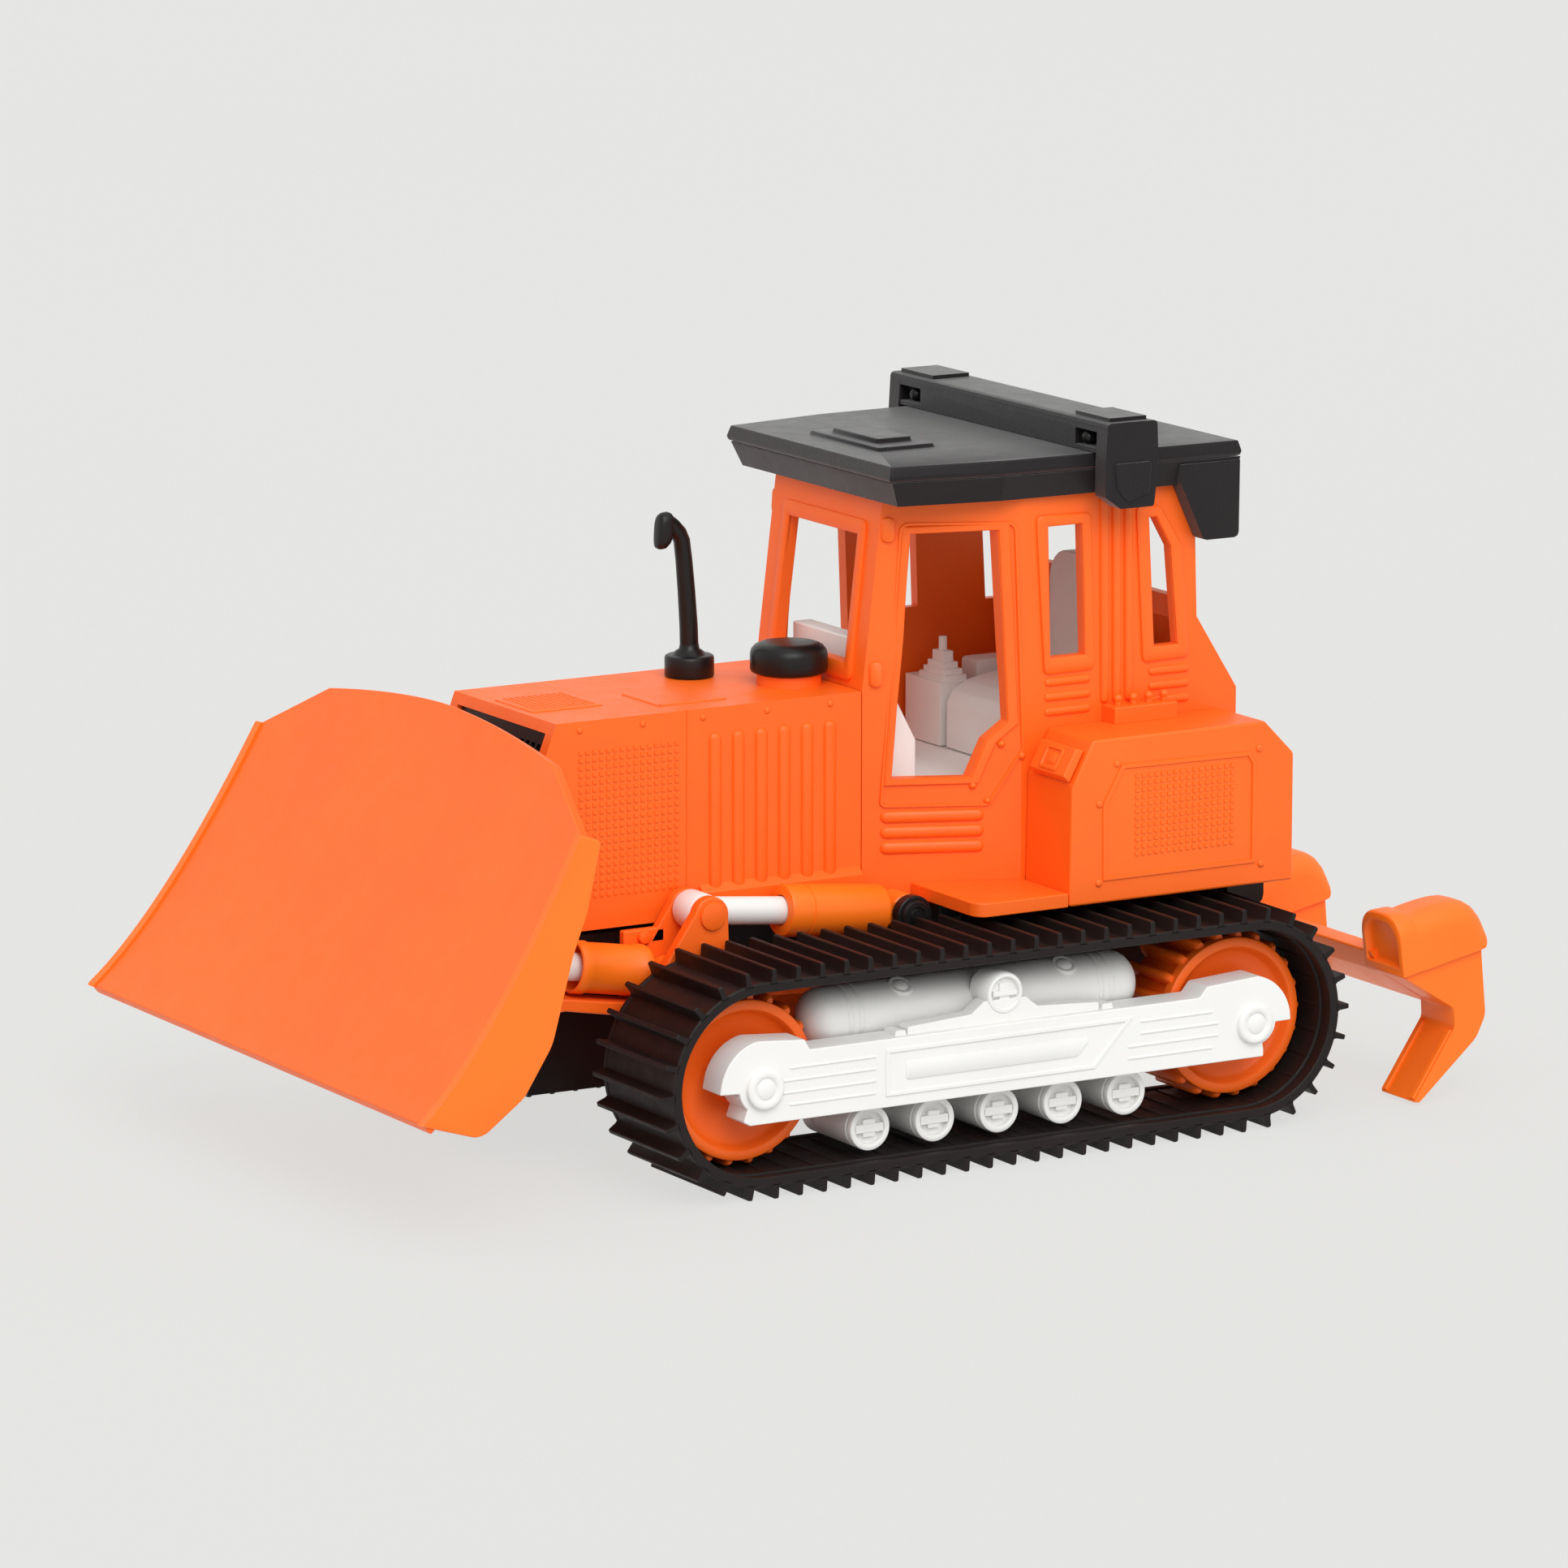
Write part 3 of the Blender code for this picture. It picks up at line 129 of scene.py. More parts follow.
def plastic(name, colour, shade, roughness, spread, grain, grain_depth, wave, ior, sheen):
    """Moulded plastic: slow drift of tint and gloss, a fine tool grain and, on large
    panels, the slight waviness of a cooled moulding."""
    n = Nodes(name)
    n.feed(Base_Color=n.mix(n.ramp(n.noise(22.0, 4.0, 0.6), 0.0, 1.0), colour, shade))
    n.feed(Roughness=n.ramp(n.noise(140.0, 3.0, 0.6), roughness - spread, roughness + spread))
    normal = n.bump(n.noise(grain, 2.0, 0.6), grain_depth, 0.0001)
    if wave:
        normal = n.bump(n.noise(38.0, 1.0, 0.4), wave, 0.0006, normal)
    n.feed(Normal=normal)
    n.fill(n.shader, {"IOR": ior})
    if sheen:
        n.fill(n.shader, {"Sheen Weight": sheen, "Sheen Roughness": 0.45})
    return n.material


def brushed_steel():
    n = Nodes("steel")
    n.fill(n.shader, {"Metallic": 1.0})
    grain = n.noise(900.0, 2.0, 0.5)
    n.feed(Base_Color=n.mix(n.ramp(grain, 0.0, 1.0), (0.5, 0.5, 0.52), (0.66, 0.66, 0.68)))
    n.feed(Roughness=n.ramp(grain, 0.25, 0.4), Normal=n.bump(grain, 0.15, 0.0001))
    return n.material


PLASTICS = (
    # name, colour, shade, roughness and its spread, grain and its depth, wave, index of refraction, sheen
    ("body_orange", (1.0, 0.150, 0.010), (0.97, 0.132, 0.008), 0.44, 0.05, 900.0, 0.10, 0.05, 1.42, 0.0),
    # Painted light: the next orange is the body orange made lighter and yellower. It stands in for the
    # stronger light on the blade's cheeks, brackets and pins and on the ripper.
    ("blade_orange", (1.0, 0.180, 0.010), (0.98, 0.165, 0.009), 0.42, 0.05, 900.0, 0.08, 0.05, 1.42, 0.0),
    ("cylinder_orange", (1.0, 0.185, 0.008), (0.97, 0.165, 0.007), 0.38, 0.05, 900.0, 0.08, 0.03, 1.42, 0.0),
    ("roof_black", (0.012, 0.009, 0.010), (0.008, 0.006, 0.007), 0.42, 0.06, 1500.0, 0.9, 0.0, 1.27, 0.35),
    ("gloss_black", (0.010, 0.009, 0.009), (0.006, 0.005, 0.005), 0.34, 0.05, 900.0, 0.08, 0.03, 1.36, 0.0),
    ("track_rubber", (0.014, 0.009, 0.008), (0.008, 0.005, 0.005), 0.55, 0.08, 1100.0, 0.5, 0.0, 1.32, 0.0),
    ("frame_white", (0.82, 0.815, 0.80), (0.78, 0.775, 0.76), 0.46, 0.05, 900.0, 0.10, 0.04, 1.45, 0.0),
    # Painted light: the next white is made lighter than the frame's white. It stands in for light that the
    # stage lights hardly bring to the seat, console, dashboard and floor inside the cab.
    ("cab_grey", (0.93, 0.895, 0.865), (0.88, 0.845, 0.815), 0.55, 0.05, 1000.0, 0.15, 0.03, 1.42, 0.0),
)
MATERIALS = {row[0]: plastic(*row) for row in PLASTICS}
MATERIALS["steel"] = brushed_steel()


# ---------------------------------------------------------------- mesh helpers


def place(axis, along, u, v):
    return {"X": (along, u, v), "Y": (u, along, v), "Z": (u, v, along)}[axis]


def loft(outlines, bm=None):
    """A closed solid through matching outlines of 3-D points."""
    bm = bm or bmesh.new()
    rings = [[bm.verts.new(p) for p in ring] for ring in outlines]
    bm.faces.new(rings[0])
    bm.faces.new(list(reversed(rings[-1])))
    for low, high in zip(rings, rings[1:]):
        for i in range(len(low)):
            j = (i + 1) % len(low)
            bm.faces.new((low[j], low[i], high[i], high[j]))
    return bm


def join(rows, bm):
    """Faces between neighbouring rows of vertices, where each row is a closed ring."""
    for a, b in zip(rows, rows[1:]):
        for i in range(len(a)):
            j = (i + 1) % len(a)
            bm.faces.new((a[i], a[j], b[j], b[i]))


def circle(count):
    """Points once round the unit circle."""
    angles = (2 * math.pi * i / count for i in range(count))
    return [(math.cos(angle), math.sin(angle)) for angle in angles]


def rectangle(u0, u1, v0, v1):
    return [(u0, v0), (u1, v0), (u1, v1), (u0, v1)]


def mirrored(points):
    """A whole outline from the points on its negative side."""
    return [*points, *((-u, v) for u, v in reversed(points))]


def prism(outline, axis, low, high, bm=None):
    return loft([[place(axis, a, u, v) for u, v in outline] for a in (low, high)], bm)


def slab(outline, side, near, far, bm=None):
    """A (Y, Z) outline between two distances from the middle, on one side."""
    return prism(outline, "X", *sorted((side * near, side * far)), bm)


def box(x, y, z, bm=None):
    return prism(rectangle(*x, *y), "Z", *z, bm)


def side_box(side, near, far, y, z, bm=None):
    return box(sorted((side * near, side * far)), y, z, bm)


def revolve(profile, axis, centre, segments=64, bm=None):
    """Turns (radius, along) points about an axis. A profile that starts and ends on
    the axis makes a solid, and any other closes on itself as a ring."""
    bm = bm or bmesh.new()
    rings = []
    for radius, along in profile:
        if radius < 1e-6:
            rings.append([bm.verts.new(place(axis, along, *centre))])
            continue
        points = [(centre[0] + radius * c, centre[1] + radius * s) for c, s in circle(segments)]
        rings.append([bm.verts.new(place(axis, along, u, v)) for u, v in points])
    pairs = list(zip(rings, rings[1:]))
    if len(rings[0]) > 1:
        pairs.append((rings[-1], rings[0]))
    for a, b in pairs:
        for i in range(segments):
            j = (i + 1) % segments
            corners = [a[i % len(a)], a[j % len(a)], b[j % len(b)], b[i % len(b)]]
            bm.faces.new(list(dict.fromkeys(corners)))
    return bm


def turned(profile, side, centre, segments, bm=None):
    """A revolved piece across the machine, from (radius, distance from the middle) points."""
    return revolve([(r, side * x) for r, x in profile], "X", centre, segments, bm)


def cylinder(axis, centre, radius, low, high, segments=48, bm=None, edge=0.3):
    """A solid cylinder with its two rims rounded off."""
    e = edge
    turn = 1 if high > low else -1
    profile = [
        (0, low), (radius - e, low), (radius - 0.3 * e, low + 0.3 * e * turn), (radius, low + e * turn),
        (radius, high - e * turn), (radius - 0.3 * e, high - 0.3 * e * turn), (radius - e, high), (0, high),
    ]
    return revolve(profile, axis, centre, segments, bm)


def rounded(points, radius, steps=5):
    """An outline with its corners rounded by one radius, or by a radius for each."""
    radii = radius if isinstance(radius, (list, tuple)) else [radius] * len(points)
    result = []
    for i, corner in enumerate(points):
        here = Vector(corner)
        back = (Vector(points[i - 1]) - here).normalized()
        ahead = (Vector(points[(i + 1) % len(points)]) - here).normalized()
        half = back.angle(ahead) / 2
        if radii[i] <= 0 or abs(half - math.pi / 2) < 1e-3:
            result.append(tuple(here))
            continue
        centre = here + (back + ahead).normalized() * radii[i] / math.sin(half)
        start = here + back * radii[i] / math.tan(half) - centre
        end = here + ahead * radii[i] / math.tan(half) - centre
        sweep = start.angle_signed(end)
        for k in range(steps + 1):
            spoke = start.copy()
            spoke.rotate(Matrix.Rotation(-sweep * k / steps, 2))
            result.append(tuple(centre + spoke))
    return result


def arc(centre, radius, start, end, steps):
    points = []
    for k in range(steps + 1):
        angle = math.radians(start + (end - start) * k / steps)
        points.append((centre[0] + radius * math.cos(angle), centre[1] + radius * math.sin(angle)))
    return points


def add_object(name, data):
    obj = bpy.data.objects.new(name, data)
    bpy.context.scene.collection.objects.link(obj)
    return obj


def mesh_object(name, bm, material):
    mesh = bpy.data.meshes.new(name)
    bm.to_mesh(mesh)
    bm.free()
    mesh.materials.append(material)
    return add_object(name, mesh)


def finish(name, bm, material, replaces=(), bevel=0.0, segments=2, angle=32, body="machine"):
    """Turns a bmesh in millimetres into a piece that rides on a body."""
    bmesh.ops.recalc_face_normals(bm, faces=bm.faces)
    for vert in bm.verts:
        vert.co = vert.co * MM
    obj = mesh_object(name, bm, MATERIALS[material])
    obj.data.shade_smooth()
    obj.data.set_sharp_from_angle(angle=math.radians(angle))
    if bevel:
        modifier = obj.modifiers.new("edges", "BEVEL")
        modifier.width = bevel * MM
        modifier.segments = segments
        modifier.limit_method = "ANGLE"
        modifier.angle_limit = math.radians(angle - 4)
        modifier.use_clamp_overlap = True
        modifier.harden_normals = True
    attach(obj, body)
    if replaces:
        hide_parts(*replaces)


def skin(node, material, bevel, segments=3, angle=32):
    """A copy of a CAD node's shape with its flat faces rejoined and its edges rounded."""
    bm = bmesh.new()
    bm.from_mesh(NODES[node].data)
    for vert in bm.verts:
        vert.co = vert.co / MM
    bmesh.ops.remove_doubles(bm, verts=bm.verts, dist=0.002)
    bmesh.ops.dissolve_limit(bm, angle_limit=math.radians(0.8), verts=bm.verts, edges=bm.edges)
    finish(f"{node}_shape", bm, material, [node], bevel, segments, angle, body=BODY_OF[node])


TREES = {}


def surface_x(node, y, z, side):
    """The X where a ray from the side first meets a CAD node, or None if it misses."""
    if node not in TREES:
        mesh = NODES[node].data
        points = [v.co / MM for v in mesh.vertices]
        TREES[node] = BVHTree.FromPolygons(points, [list(p.vertices) for p in mesh.polygons])
    hit = TREES[node].ray_cast(Vector((side * 400.0, y, z)), Vector((-side, 0, 0)))
    return hit[0].x if hit[0] is not None else None


# ---------------------------------------------------------------- moulded details


def reaching(base):
    """A wall's X as a function of (y, z), from that function or from a number."""
    return base if callable(base) else (lambda y, z: base)


def pad(bm, outline, side, base, height, slope=0.25):
    """A low raised pad on a side wall. base is the wall's X, or a function of (y, z)."""
    reach = reaching(base)
    cy = sum(p[0] for p in outline) / len(outline)
    cz = sum(p[1] for p in outline) / len(outline)
    size = max(max(abs(p[0] - cy), abs(p[1] - cz)) for p in outline)
    rings = []
    for inset, lift in ((0, -0.3), (0, 0.4 * height), (slope * 0.35, 0.85 * height), (slope, height)):
        share = 1 - inset / size
        ring = []
        for y, z in outline:
            yy, zz = cy + (y - cy) * share, cz + (z - cz) * share
            ring.append((reach(yy, zz) + side * lift, yy, zz))
        rings.append(ring)
    return loft(rings, bm)


def raised_frame(bm, outer, inner, point, height, soft, rim):
    """A raised frame between two matching outlines. point(u, v, lift) gives its points."""
    rings = []
    for share, lift in ((0.0, -0.3), (0.0, height - soft), (rim, height), (1 - rim, height),
                        (1.0, height - soft), (1.0, -0.3)):
        spots = ((a[0] + (b[0] - a[0]) * share, a[1] + (b[1] - a[1]) * share) for a, b in zip(outer, inner))
        rings.append([bm.verts.new(point(u, v, lift)) for u, v in spots])
    join([*rings, rings[0]], bm)


def band(bm, outer, inner, side, base, height, soft=0.3):
    """A raised frame on a side wall."""
    reach = reaching(base)
    raised_frame(bm, outer, inner, lambda y, z, lift: (reach(y, z) + side * lift, y, z), height, soft, 0.12)


def rivet(bm, side, x, y, z, radius=0.95, height=0.55):
    """A domed rivet head on a side wall."""
    profile = [(0, x - side * 0.2), (radius, x - side * 0.2)]
    for k in range(1, 5):
        angle = math.pi / 2 * k / 5
        profile.append((radius * math.cos(angle), x + side * height * math.sin(angle)))
    profile.append((0, x + side * height))
    return revolve(profile, "X", (y, z), 20, bm)


UNIT_SQUARE = rectangle(-1, 1, -1, 1)


def stud_grid(bm, side, x, ys, zs, size=0.62, height=0.28):
    """Rows of small pyramid-topped studs."""
    for y in ys:
        for z in zs:
            rings = []
            for half, lift in ((size, -0.1), (size * 0.8, height * 0.75), (size * 0.4, height)):
                rings.append([(x + side * lift, y + a * half, z + b * half) for a, b in UNIT_SQUARE])
            loft(rings, bm)
    return bm


def rib(bm, side, base, start, end, radius, height):
    """A half-round rib with domed ends between two (y, z) points on a side wall."""
    a, b = Vector(start), Vector(end)
    direction = (b - a).normalized()
    across = Vector((-direction.y, direction.x))
    reach = reaching(base)
    length = (b - a).length
    stations = [(0.0, 0.05), (0.08, 0.45), (0.3, 0.78), (0.65, 0.95), (1.0, 1.0)]
    stations = [(s * radius, f) for s, f in stations]
    stations += [(length - s, f) for s, f in reversed(stations)]
    rings = []
    for along, swell in stations:
        centre = a + direction * along
        ring = []
        for k in range(9):
            angle = math.pi * k / 8
            p = centre + across * radius * math.cos(angle) * swell
            lift = height * math.sin(angle) * swell - (0.25 if k in (0, 8) else 0.0)
            ring.append((reach(p.x, p.y) + side * lift, p.x, p.y))
        rings.append(ring)
    return loft(rings, bm)


def spread(first, last, count):
    return [first + (last - first) * k / (count - 1) for k in range(count)]


# ---------------------------------------------------------------- running gear

BELT_Z, BELT_R, BELT_T = 31.9, 28.1, 2.5
GROUSERS, GROUSER_H = 64, 3.8
BELT_NEAR, BELT_FAR = 50.0, 88.5
WHEEL_TEETH = 22
BEAM_LOW, BEAM_HIGH, BEAM_FACE = 21.0, 40.2, 88.0
WEB_TOP = 33.9
ROLLERS, ROLLER_R, ROLLER_PITCH, MIDDLE_ROLLER_Y = 5, 6.3, 20.8, 14.5
TANK_R, TANK_X, TANK_START, TANK_END, DOME_RISE = 9.0, 68.6, -41.5, 66.0, 7.5
FIT_GAP = 0.3


def belt_point(distance, radius=BELT_R - BELT_T / 2):
    """A point on the belt's loop, its outward direction and its direction of travel."""
    run, bend = REAR_Y - FRONT_Y, math.pi * radius
    d = (distance % 1.0) * 2 * (run + bend)
    if d < run:
        return Vector((FRONT_Y + d, BELT_Z - radius)), Vector((0, -1))
    d -= run
    if d < bend:
        angle = d / radius - math.pi / 2
        out = Vector((math.cos(angle), math.sin(angle)))
        return Vector((REAR_Y, BELT_Z)) + out * radius, out
    d -= bend
    if d < run:
        return Vector((REAR_Y - d, BELT_Z + radius)), Vector((0, 1))
    d -= run
    angle = d / radius + math.pi / 2
    out = Vector((math.cos(angle), math.sin(angle)))
    return Vector((FRONT_Y, BELT_Z)) + out * radius, out


def belt(hand, side):
    half = BELT_T / 2
    bm = bmesh.new()
    section = [(BELT_NEAR, half - 0.1), (50.3, half + 0.35), (51.3, half + 0.35), (51.8, half), (86.7, half),
               (87.2, half + 0.35), (88.2, half + 0.35), (BELT_FAR, half - 0.1), (BELT_FAR, -half + 0.3),
               (88.2, -half), (86.2, -half), (85.9, -half + 0.6), (83.2, -half + 0.6), (82.9, -half),
               (55.6, -half), (55.3, -half + 0.6), (52.6, -half + 0.6), (52.3, -half), (50.3, -half),
               (BELT_NEAR, -half + 0.3)]
    stations = GROUSERS * 5
    rings = []
    for i in range(stations):
        point, out = belt_point(i / stations)
        rings.append([bm.verts.new((side * x, *(point + out * h))) for x, h in section])
    join([*rings, rings[0]], bm)
    for i in range(GROUSERS):
        point, out = belt_point((i + 0.5) / GROUSERS)
        travel = Vector((-out.y, out.x))
        top = half + GROUSER_H
        outline = mirrored([(-1.35, half - 0.3), (-1.2, half + 0.1), (-0.85, half + 0.8), (-0.7, top - 0.25),
                            (-0.5, top)])
        rings = []
        for x, drop in ((BELT_NEAR, 0.35), (50.25, 0.0), (88.25, 0.0), (BELT_FAR, 0.35)):
            narrow = 1 - 0.2 * drop
            ring = []
            for t, h in outline:
                height = h - drop if h > half + 1 else h
                ring.append((side * x, *(point + travel * t * narrow + out * height)))
            rings.append(ring)
        loft(rings, bm)
        inner = mirrored([(-1.1, -half + 0.3), (-0.8, -half - 0.15), (-0.5, -half - 0.3)])
        loft([[(side * x, *(point + travel * t + out * h)) for t, h in inner] for x in (55.8, 82.7)], bm)
    finish(f"belt_{hand}", bm, "track_rubber", [f"track_belt_{hand}"])


def wheel(end, axle_y, hand, side):
    centre = (axle_y, AXLE_Z)
    body = f"{end}_wheel_{hand}"
    bm = bmesh.new()
    tooth = mirrored([(-1.75, 20.0), (-1.5, 22.4), (-1.1, 23.9), (-0.5, 24.35)])
    disc = [(2.25, 72.6), (5.5, 72.6), (6.0, 73.4), (6.6, 73.4), (7.2, 72.6), (15.5, 73.4), (17.6, 73.8),
            (18.6, 74.6), (19.2, 76.3), (19.7, 76.9), (20.4, 77.0), (21.8, 77.0), (22.2, 76.7), (22.3, 76.2),
            (22.3, 73.6), (21.9, 73.2), (20.6, 73.0), (20.5, 70.0), (20.5, 55.0), (20.2, 54.2), (19.6, 54.0),
            (18.6, 54.3), (18.3, 55.0), (17.8, 58.0), (6.0, 59.0), (5.4, 55.6), (2.25, 55.4)]
    turned(disc, side, centre, 96, bm)
    for spoke in circle(WHEEL_TEETH):
        out = Vector(spoke)
        across = Vector((-out.y, out.x))
        rings = []
        for x, inset in ((54.2, 0.5), (54.7, 0.0), (72.0, 0.0), (73.6, 0.05), (74.6, 0.35), (75.2, 0.9)):
            ring = []
            for t, h in tooth:
                point = Vector(centre) + out * (h - (inset if h > 21 else 0)) + across * t * (1 - 0.3 * inset)
                ring.append((side * x, point.x, point.y))
            rings.append(ring)
        loft(rings, bm)
    finish(f"{body}_moulding", bm, "body_orange", [body], angle=40, body=body)


def wheels(hand, side):
    wheel("front", FRONT_Y, hand, side)
    wheel("rear", REAR_Y, hand, side)


def bar_outline():
    """The side beam in the (Y, Z) plane, with a hood over each axle."""
    low, high = BEAM_LOW, BEAM_HIGH
    hood = high + 2.9
    points = [(FRONT_Y - 6.3, low + 1.2), (FRONT_Y - 4.2, low), (REAR_Y + 3.5, low), (REAR_Y + 3.5, low + 2)]
    points += arc((REAR_Y + 1.0, AXLE_Z), 6.5, -70, -5, 6)
    points += [(REAR_Y + 12.6, AXLE_Z - 0.5)]
    points += arc((REAR_Y - 1.4, AXLE_Z - 0.5), 14, 12, 78, 10)
    points += [(REAR_Y - 15.5, hood), (REAR_Y - 18.0, high)]
    points += [(FRONT_Y + 14.6, high), (FRONT_Y + 13.0, hood)]
    points += arc((FRONT_Y + 0.6, AXLE_Z - 0.5), 14, 100, 168, 10)
    points += [(FRONT_Y - 13.6, AXLE_Z - 0.5), (FRONT_Y - 7.5, AXLE_Z - 0.8)]
    points += arc((FRONT_Y - 0.5, AXLE_Z), 7.0, 190, 230, 4)
    return points


def track_frame(hand, side):
    """The white side beam with its hooded ends, its web and the drum's flange."""
    face = side * BEAM_FACE
    bm = prism(bar_outline(), "X", side * 78.0, face)
    finish(f"beam_{hand}", bm, "frame_white", [f"track_frame_{hand}"], 0.8, 3, 34)
    bm = bmesh.new()
    side_box(side, 50.5, 78.6, (-36, 66), (BEAM_LOW + 0.6, WEB_TOP), bm)
    flange = rounded([(-17, 38), (45, 38), (45, 42.2), (25, 43.4), (21, 46.5), (7.5, 46.5), (3.5, 43.4),
                      (-17, 42.2)], 0.8, 3)
    slab(flange, side, 80.5, 85.5, bm)
    for y in (-19.5, 47.5):
        gusset = [(y - 2.2, 38), (y + 2.2, 38), (y + 1.6, 41.6), (y - 1.6, 41.6)]
        slab(rounded(gusset, 0.5, 2), side, 80.0, 86.0, bm)
    finish(f"beam_web_{hand}", bm, "frame_white", (), 0.5, 2, 34)


def beam_details(hand, side):
    """Axle caps, the carrier boss and its key, and the beam's raised panel and grooves."""
    bm = bmesh.new()
    cap = [(0, 87.5), (5.7, 87.5), (5.7, 89.2), (5.4, 89.6), (4.9, 89.8), (3.6, 89.8), (3.3, 89.55),
           (3.1, 89.2), (2.9, 89.2), (2.7, 89.55), (2.3, 89.8), (0, 89.8)]
    for y in (FRONT_Y, REAR_Y):
        turned(cap, side, (y, AXLE_Z), 48, bm)
    boss = [(0, 76.5), (5.8, 76.5), (5.8, 85.4), (5.4, 85.9), (4.7, 86.0), (4.4, 85.7), (4.25, 84.6),
            (0, 84.6)]
    turned(boss, side, (14.2, 48.2), 48, bm)
    side_box(side, 84.2, 85.8, (10.4, 18.0), (47.5, 48.9), bm)
    side_box(side, 84.2, 85.4, (12.6, 15.8), (45.4, 51.0), bm)
    finish(f"beam_caps_{hand}", bm, "frame_white", angle=40)

    bm = bmesh.new()
    face = side * BEAM_FACE
    panel = [(-25.5, 24.2), (42.0, 24.2), (48.0, 30.6), (54.5, 37.4), (-25.5, 37.4)]
    inner = [(-24.4, 25.3), (41.5, 25.3), (46.9, 31.0), (52.0, 36.3), (-24.4, 36.3)]
    band(bm, panel, inner, side, face, 0.45, 0.12)
    pad(bm, rounded([(-19, 28.4), (36.5, 28.4), (41, 33.2), (-19, 33.2)], 0.8, 3), side, face, 0.4, 0.3)
    for k in range(4):
        z = 25.6 + 3.4 * k
        rib(bm, side, face, (-59.0 + 2.0 * abs(k - 1.5), z), (-28.5, z), 0.42, 0.36)
        rib(bm, side, face, (57.0 if k > 1 else 53.0, z), (84.0 - 2.0 * abs(k - 1.5), z), 0.42, 0.36)
    finish(f"beam_relief_{hand}", bm, "frame_white", angle=40)


def rollers(hand, side):
    """Five plain rollers, each with a cross-shaped key in its recessed end."""
    z = BEAM_LOW - FIT_GAP - ROLLER_R
    r = ROLLER_R
    profile = [(0, 56.0), (5.9, 56.0), (r, 56.4), (r, 61.0), (5.9, 61.4), (5.9, 62.4), (r, 62.8), (r, 79.6),
               (5.95, 79.9), (5.95, 80.5), (r, 80.8), (r, 82.2), (6.15, 82.5), (5.8, 82.6), (4.9, 82.6),
               (4.65, 82.4), (4.5, 80.7), (0, 80.7)]
    for i in range(ROLLERS):
        y = MIDDLE_ROLLER_Y + ROLLER_PITCH * (i - 2)
        bm = turned(profile, side, (y, z), 56)
        slab(rounded(rectangle(y - 4.4, y + 4.4, z - 1.15, z + 1.15), 0.2, 2), side, 80.5, 82.3, bm)
        slab(rounded(rectangle(y - 1.9, y + 1.9, z - 2.4, z + 2.4), 0.3, 2), side, 80.5, 82.0, bm)
        node = f"track_roller_{i + 1}_{hand}"
        finish(f"roller_{i + 1}_{hand}", bm, "frame_white", [node], angle=40)


def tank(hand, side):
    """A drum with domed ends, two pairs of ring grooves and two round plugs."""
    z = WEB_TOP + FIT_GAP + TANK_R
    r, y0, y1 = TANK_R, TANK_START, TANK_END
    dome = []
    for k in range(1, 9):
        angle = math.pi / 2 * k / 8
        shrink = 0.985 if k == 8 else 1
        dome.append((r * math.sin(angle) * shrink, DOME_RISE * (1 - math.cos(angle))))
    profile = [(0, y0), *((radius, y0 + rise) for radius, rise in dome)]
    for ring in (y0 + 11.5, y0 + 15.0, y1 - 15.0, y1 - 11.5):
        profile += [(r, ring - 0.9), (r - 0.35, ring - 0.5), (r - 0.35, ring + 0.5), (r, ring + 0.9)]
    profile += [*((radius, y1 - rise) for radius, rise in reversed(dome)), (0, y1)]
    bm = revolve(profile, "Y", (side * TANK_X, z), 64)
    up, right, ahead = Vector((side * 0.5, 0, 0.866)), Vector((side * 0.866, 0, -0.5)), Vector((0, 1, 0))
    plug = ((3.6, 0.0), (3.6, 0.7), (3.3, 1.0), (2.6, 1.05), (2.4, 0.8), (2.2, 1.05), (1.6, 1.5), (0.7, 1.75))
    for y in (-11.8, 41.3):
        base = Vector((side * TANK_X, y, z)) + up * 8.2
        loft([[tuple(base + up * lift + right * radius * c + ahead * radius * s) for c, s in circle(28)]
              for radius, lift in plug], bm)
    finish(f"tank_{hand}_shell", bm, "frame_white", [f"tank_{hand}"], angle=40)


# ---------------------------------------------------------------- body

HOOD_SIDE, HOOD_TOP, CAB_SIDE, BOX_SIDE = 29.0, 124.5, 46.0, 70.0
CAB_FRONT_Y, RAKE_START, RAKE_DEPTH, RAKE_HEIGHT = 2.3, 125, 6.5, 54


def hood_details(hand, side):
    """Rivets, upright ribs, a field of studs and a raised seam on the hood's side."""
    x = side * HOOD_SIDE
    bm = bmesh.new()
    for y in (-87.6, -67.8, -48.8, -28.3, -8.0):
        rivet(bm, side, x, y, 122.0)
    for y in spread(-45.0, -8.2, 6):
        rib(bm, side, x, (y, 72.6), (y, 117.4), 1.95, 1.2)
    stud_grid(bm, side, x, spread(-87.4, -57.2, 15), spread(75.6, 115.6, 20), 0.62, 0.40)
    y = -53.7
    seam = [(y - 0.45, 75.6), (y + 0.45, 75.6), (y + 0.3, 124.2), (y - 0.3, 124.2)]
    slab(seam, side, 28.6, 29.25, bm)
    finish(f"hood_relief_{hand}", bm, "body_orange", angle=40)


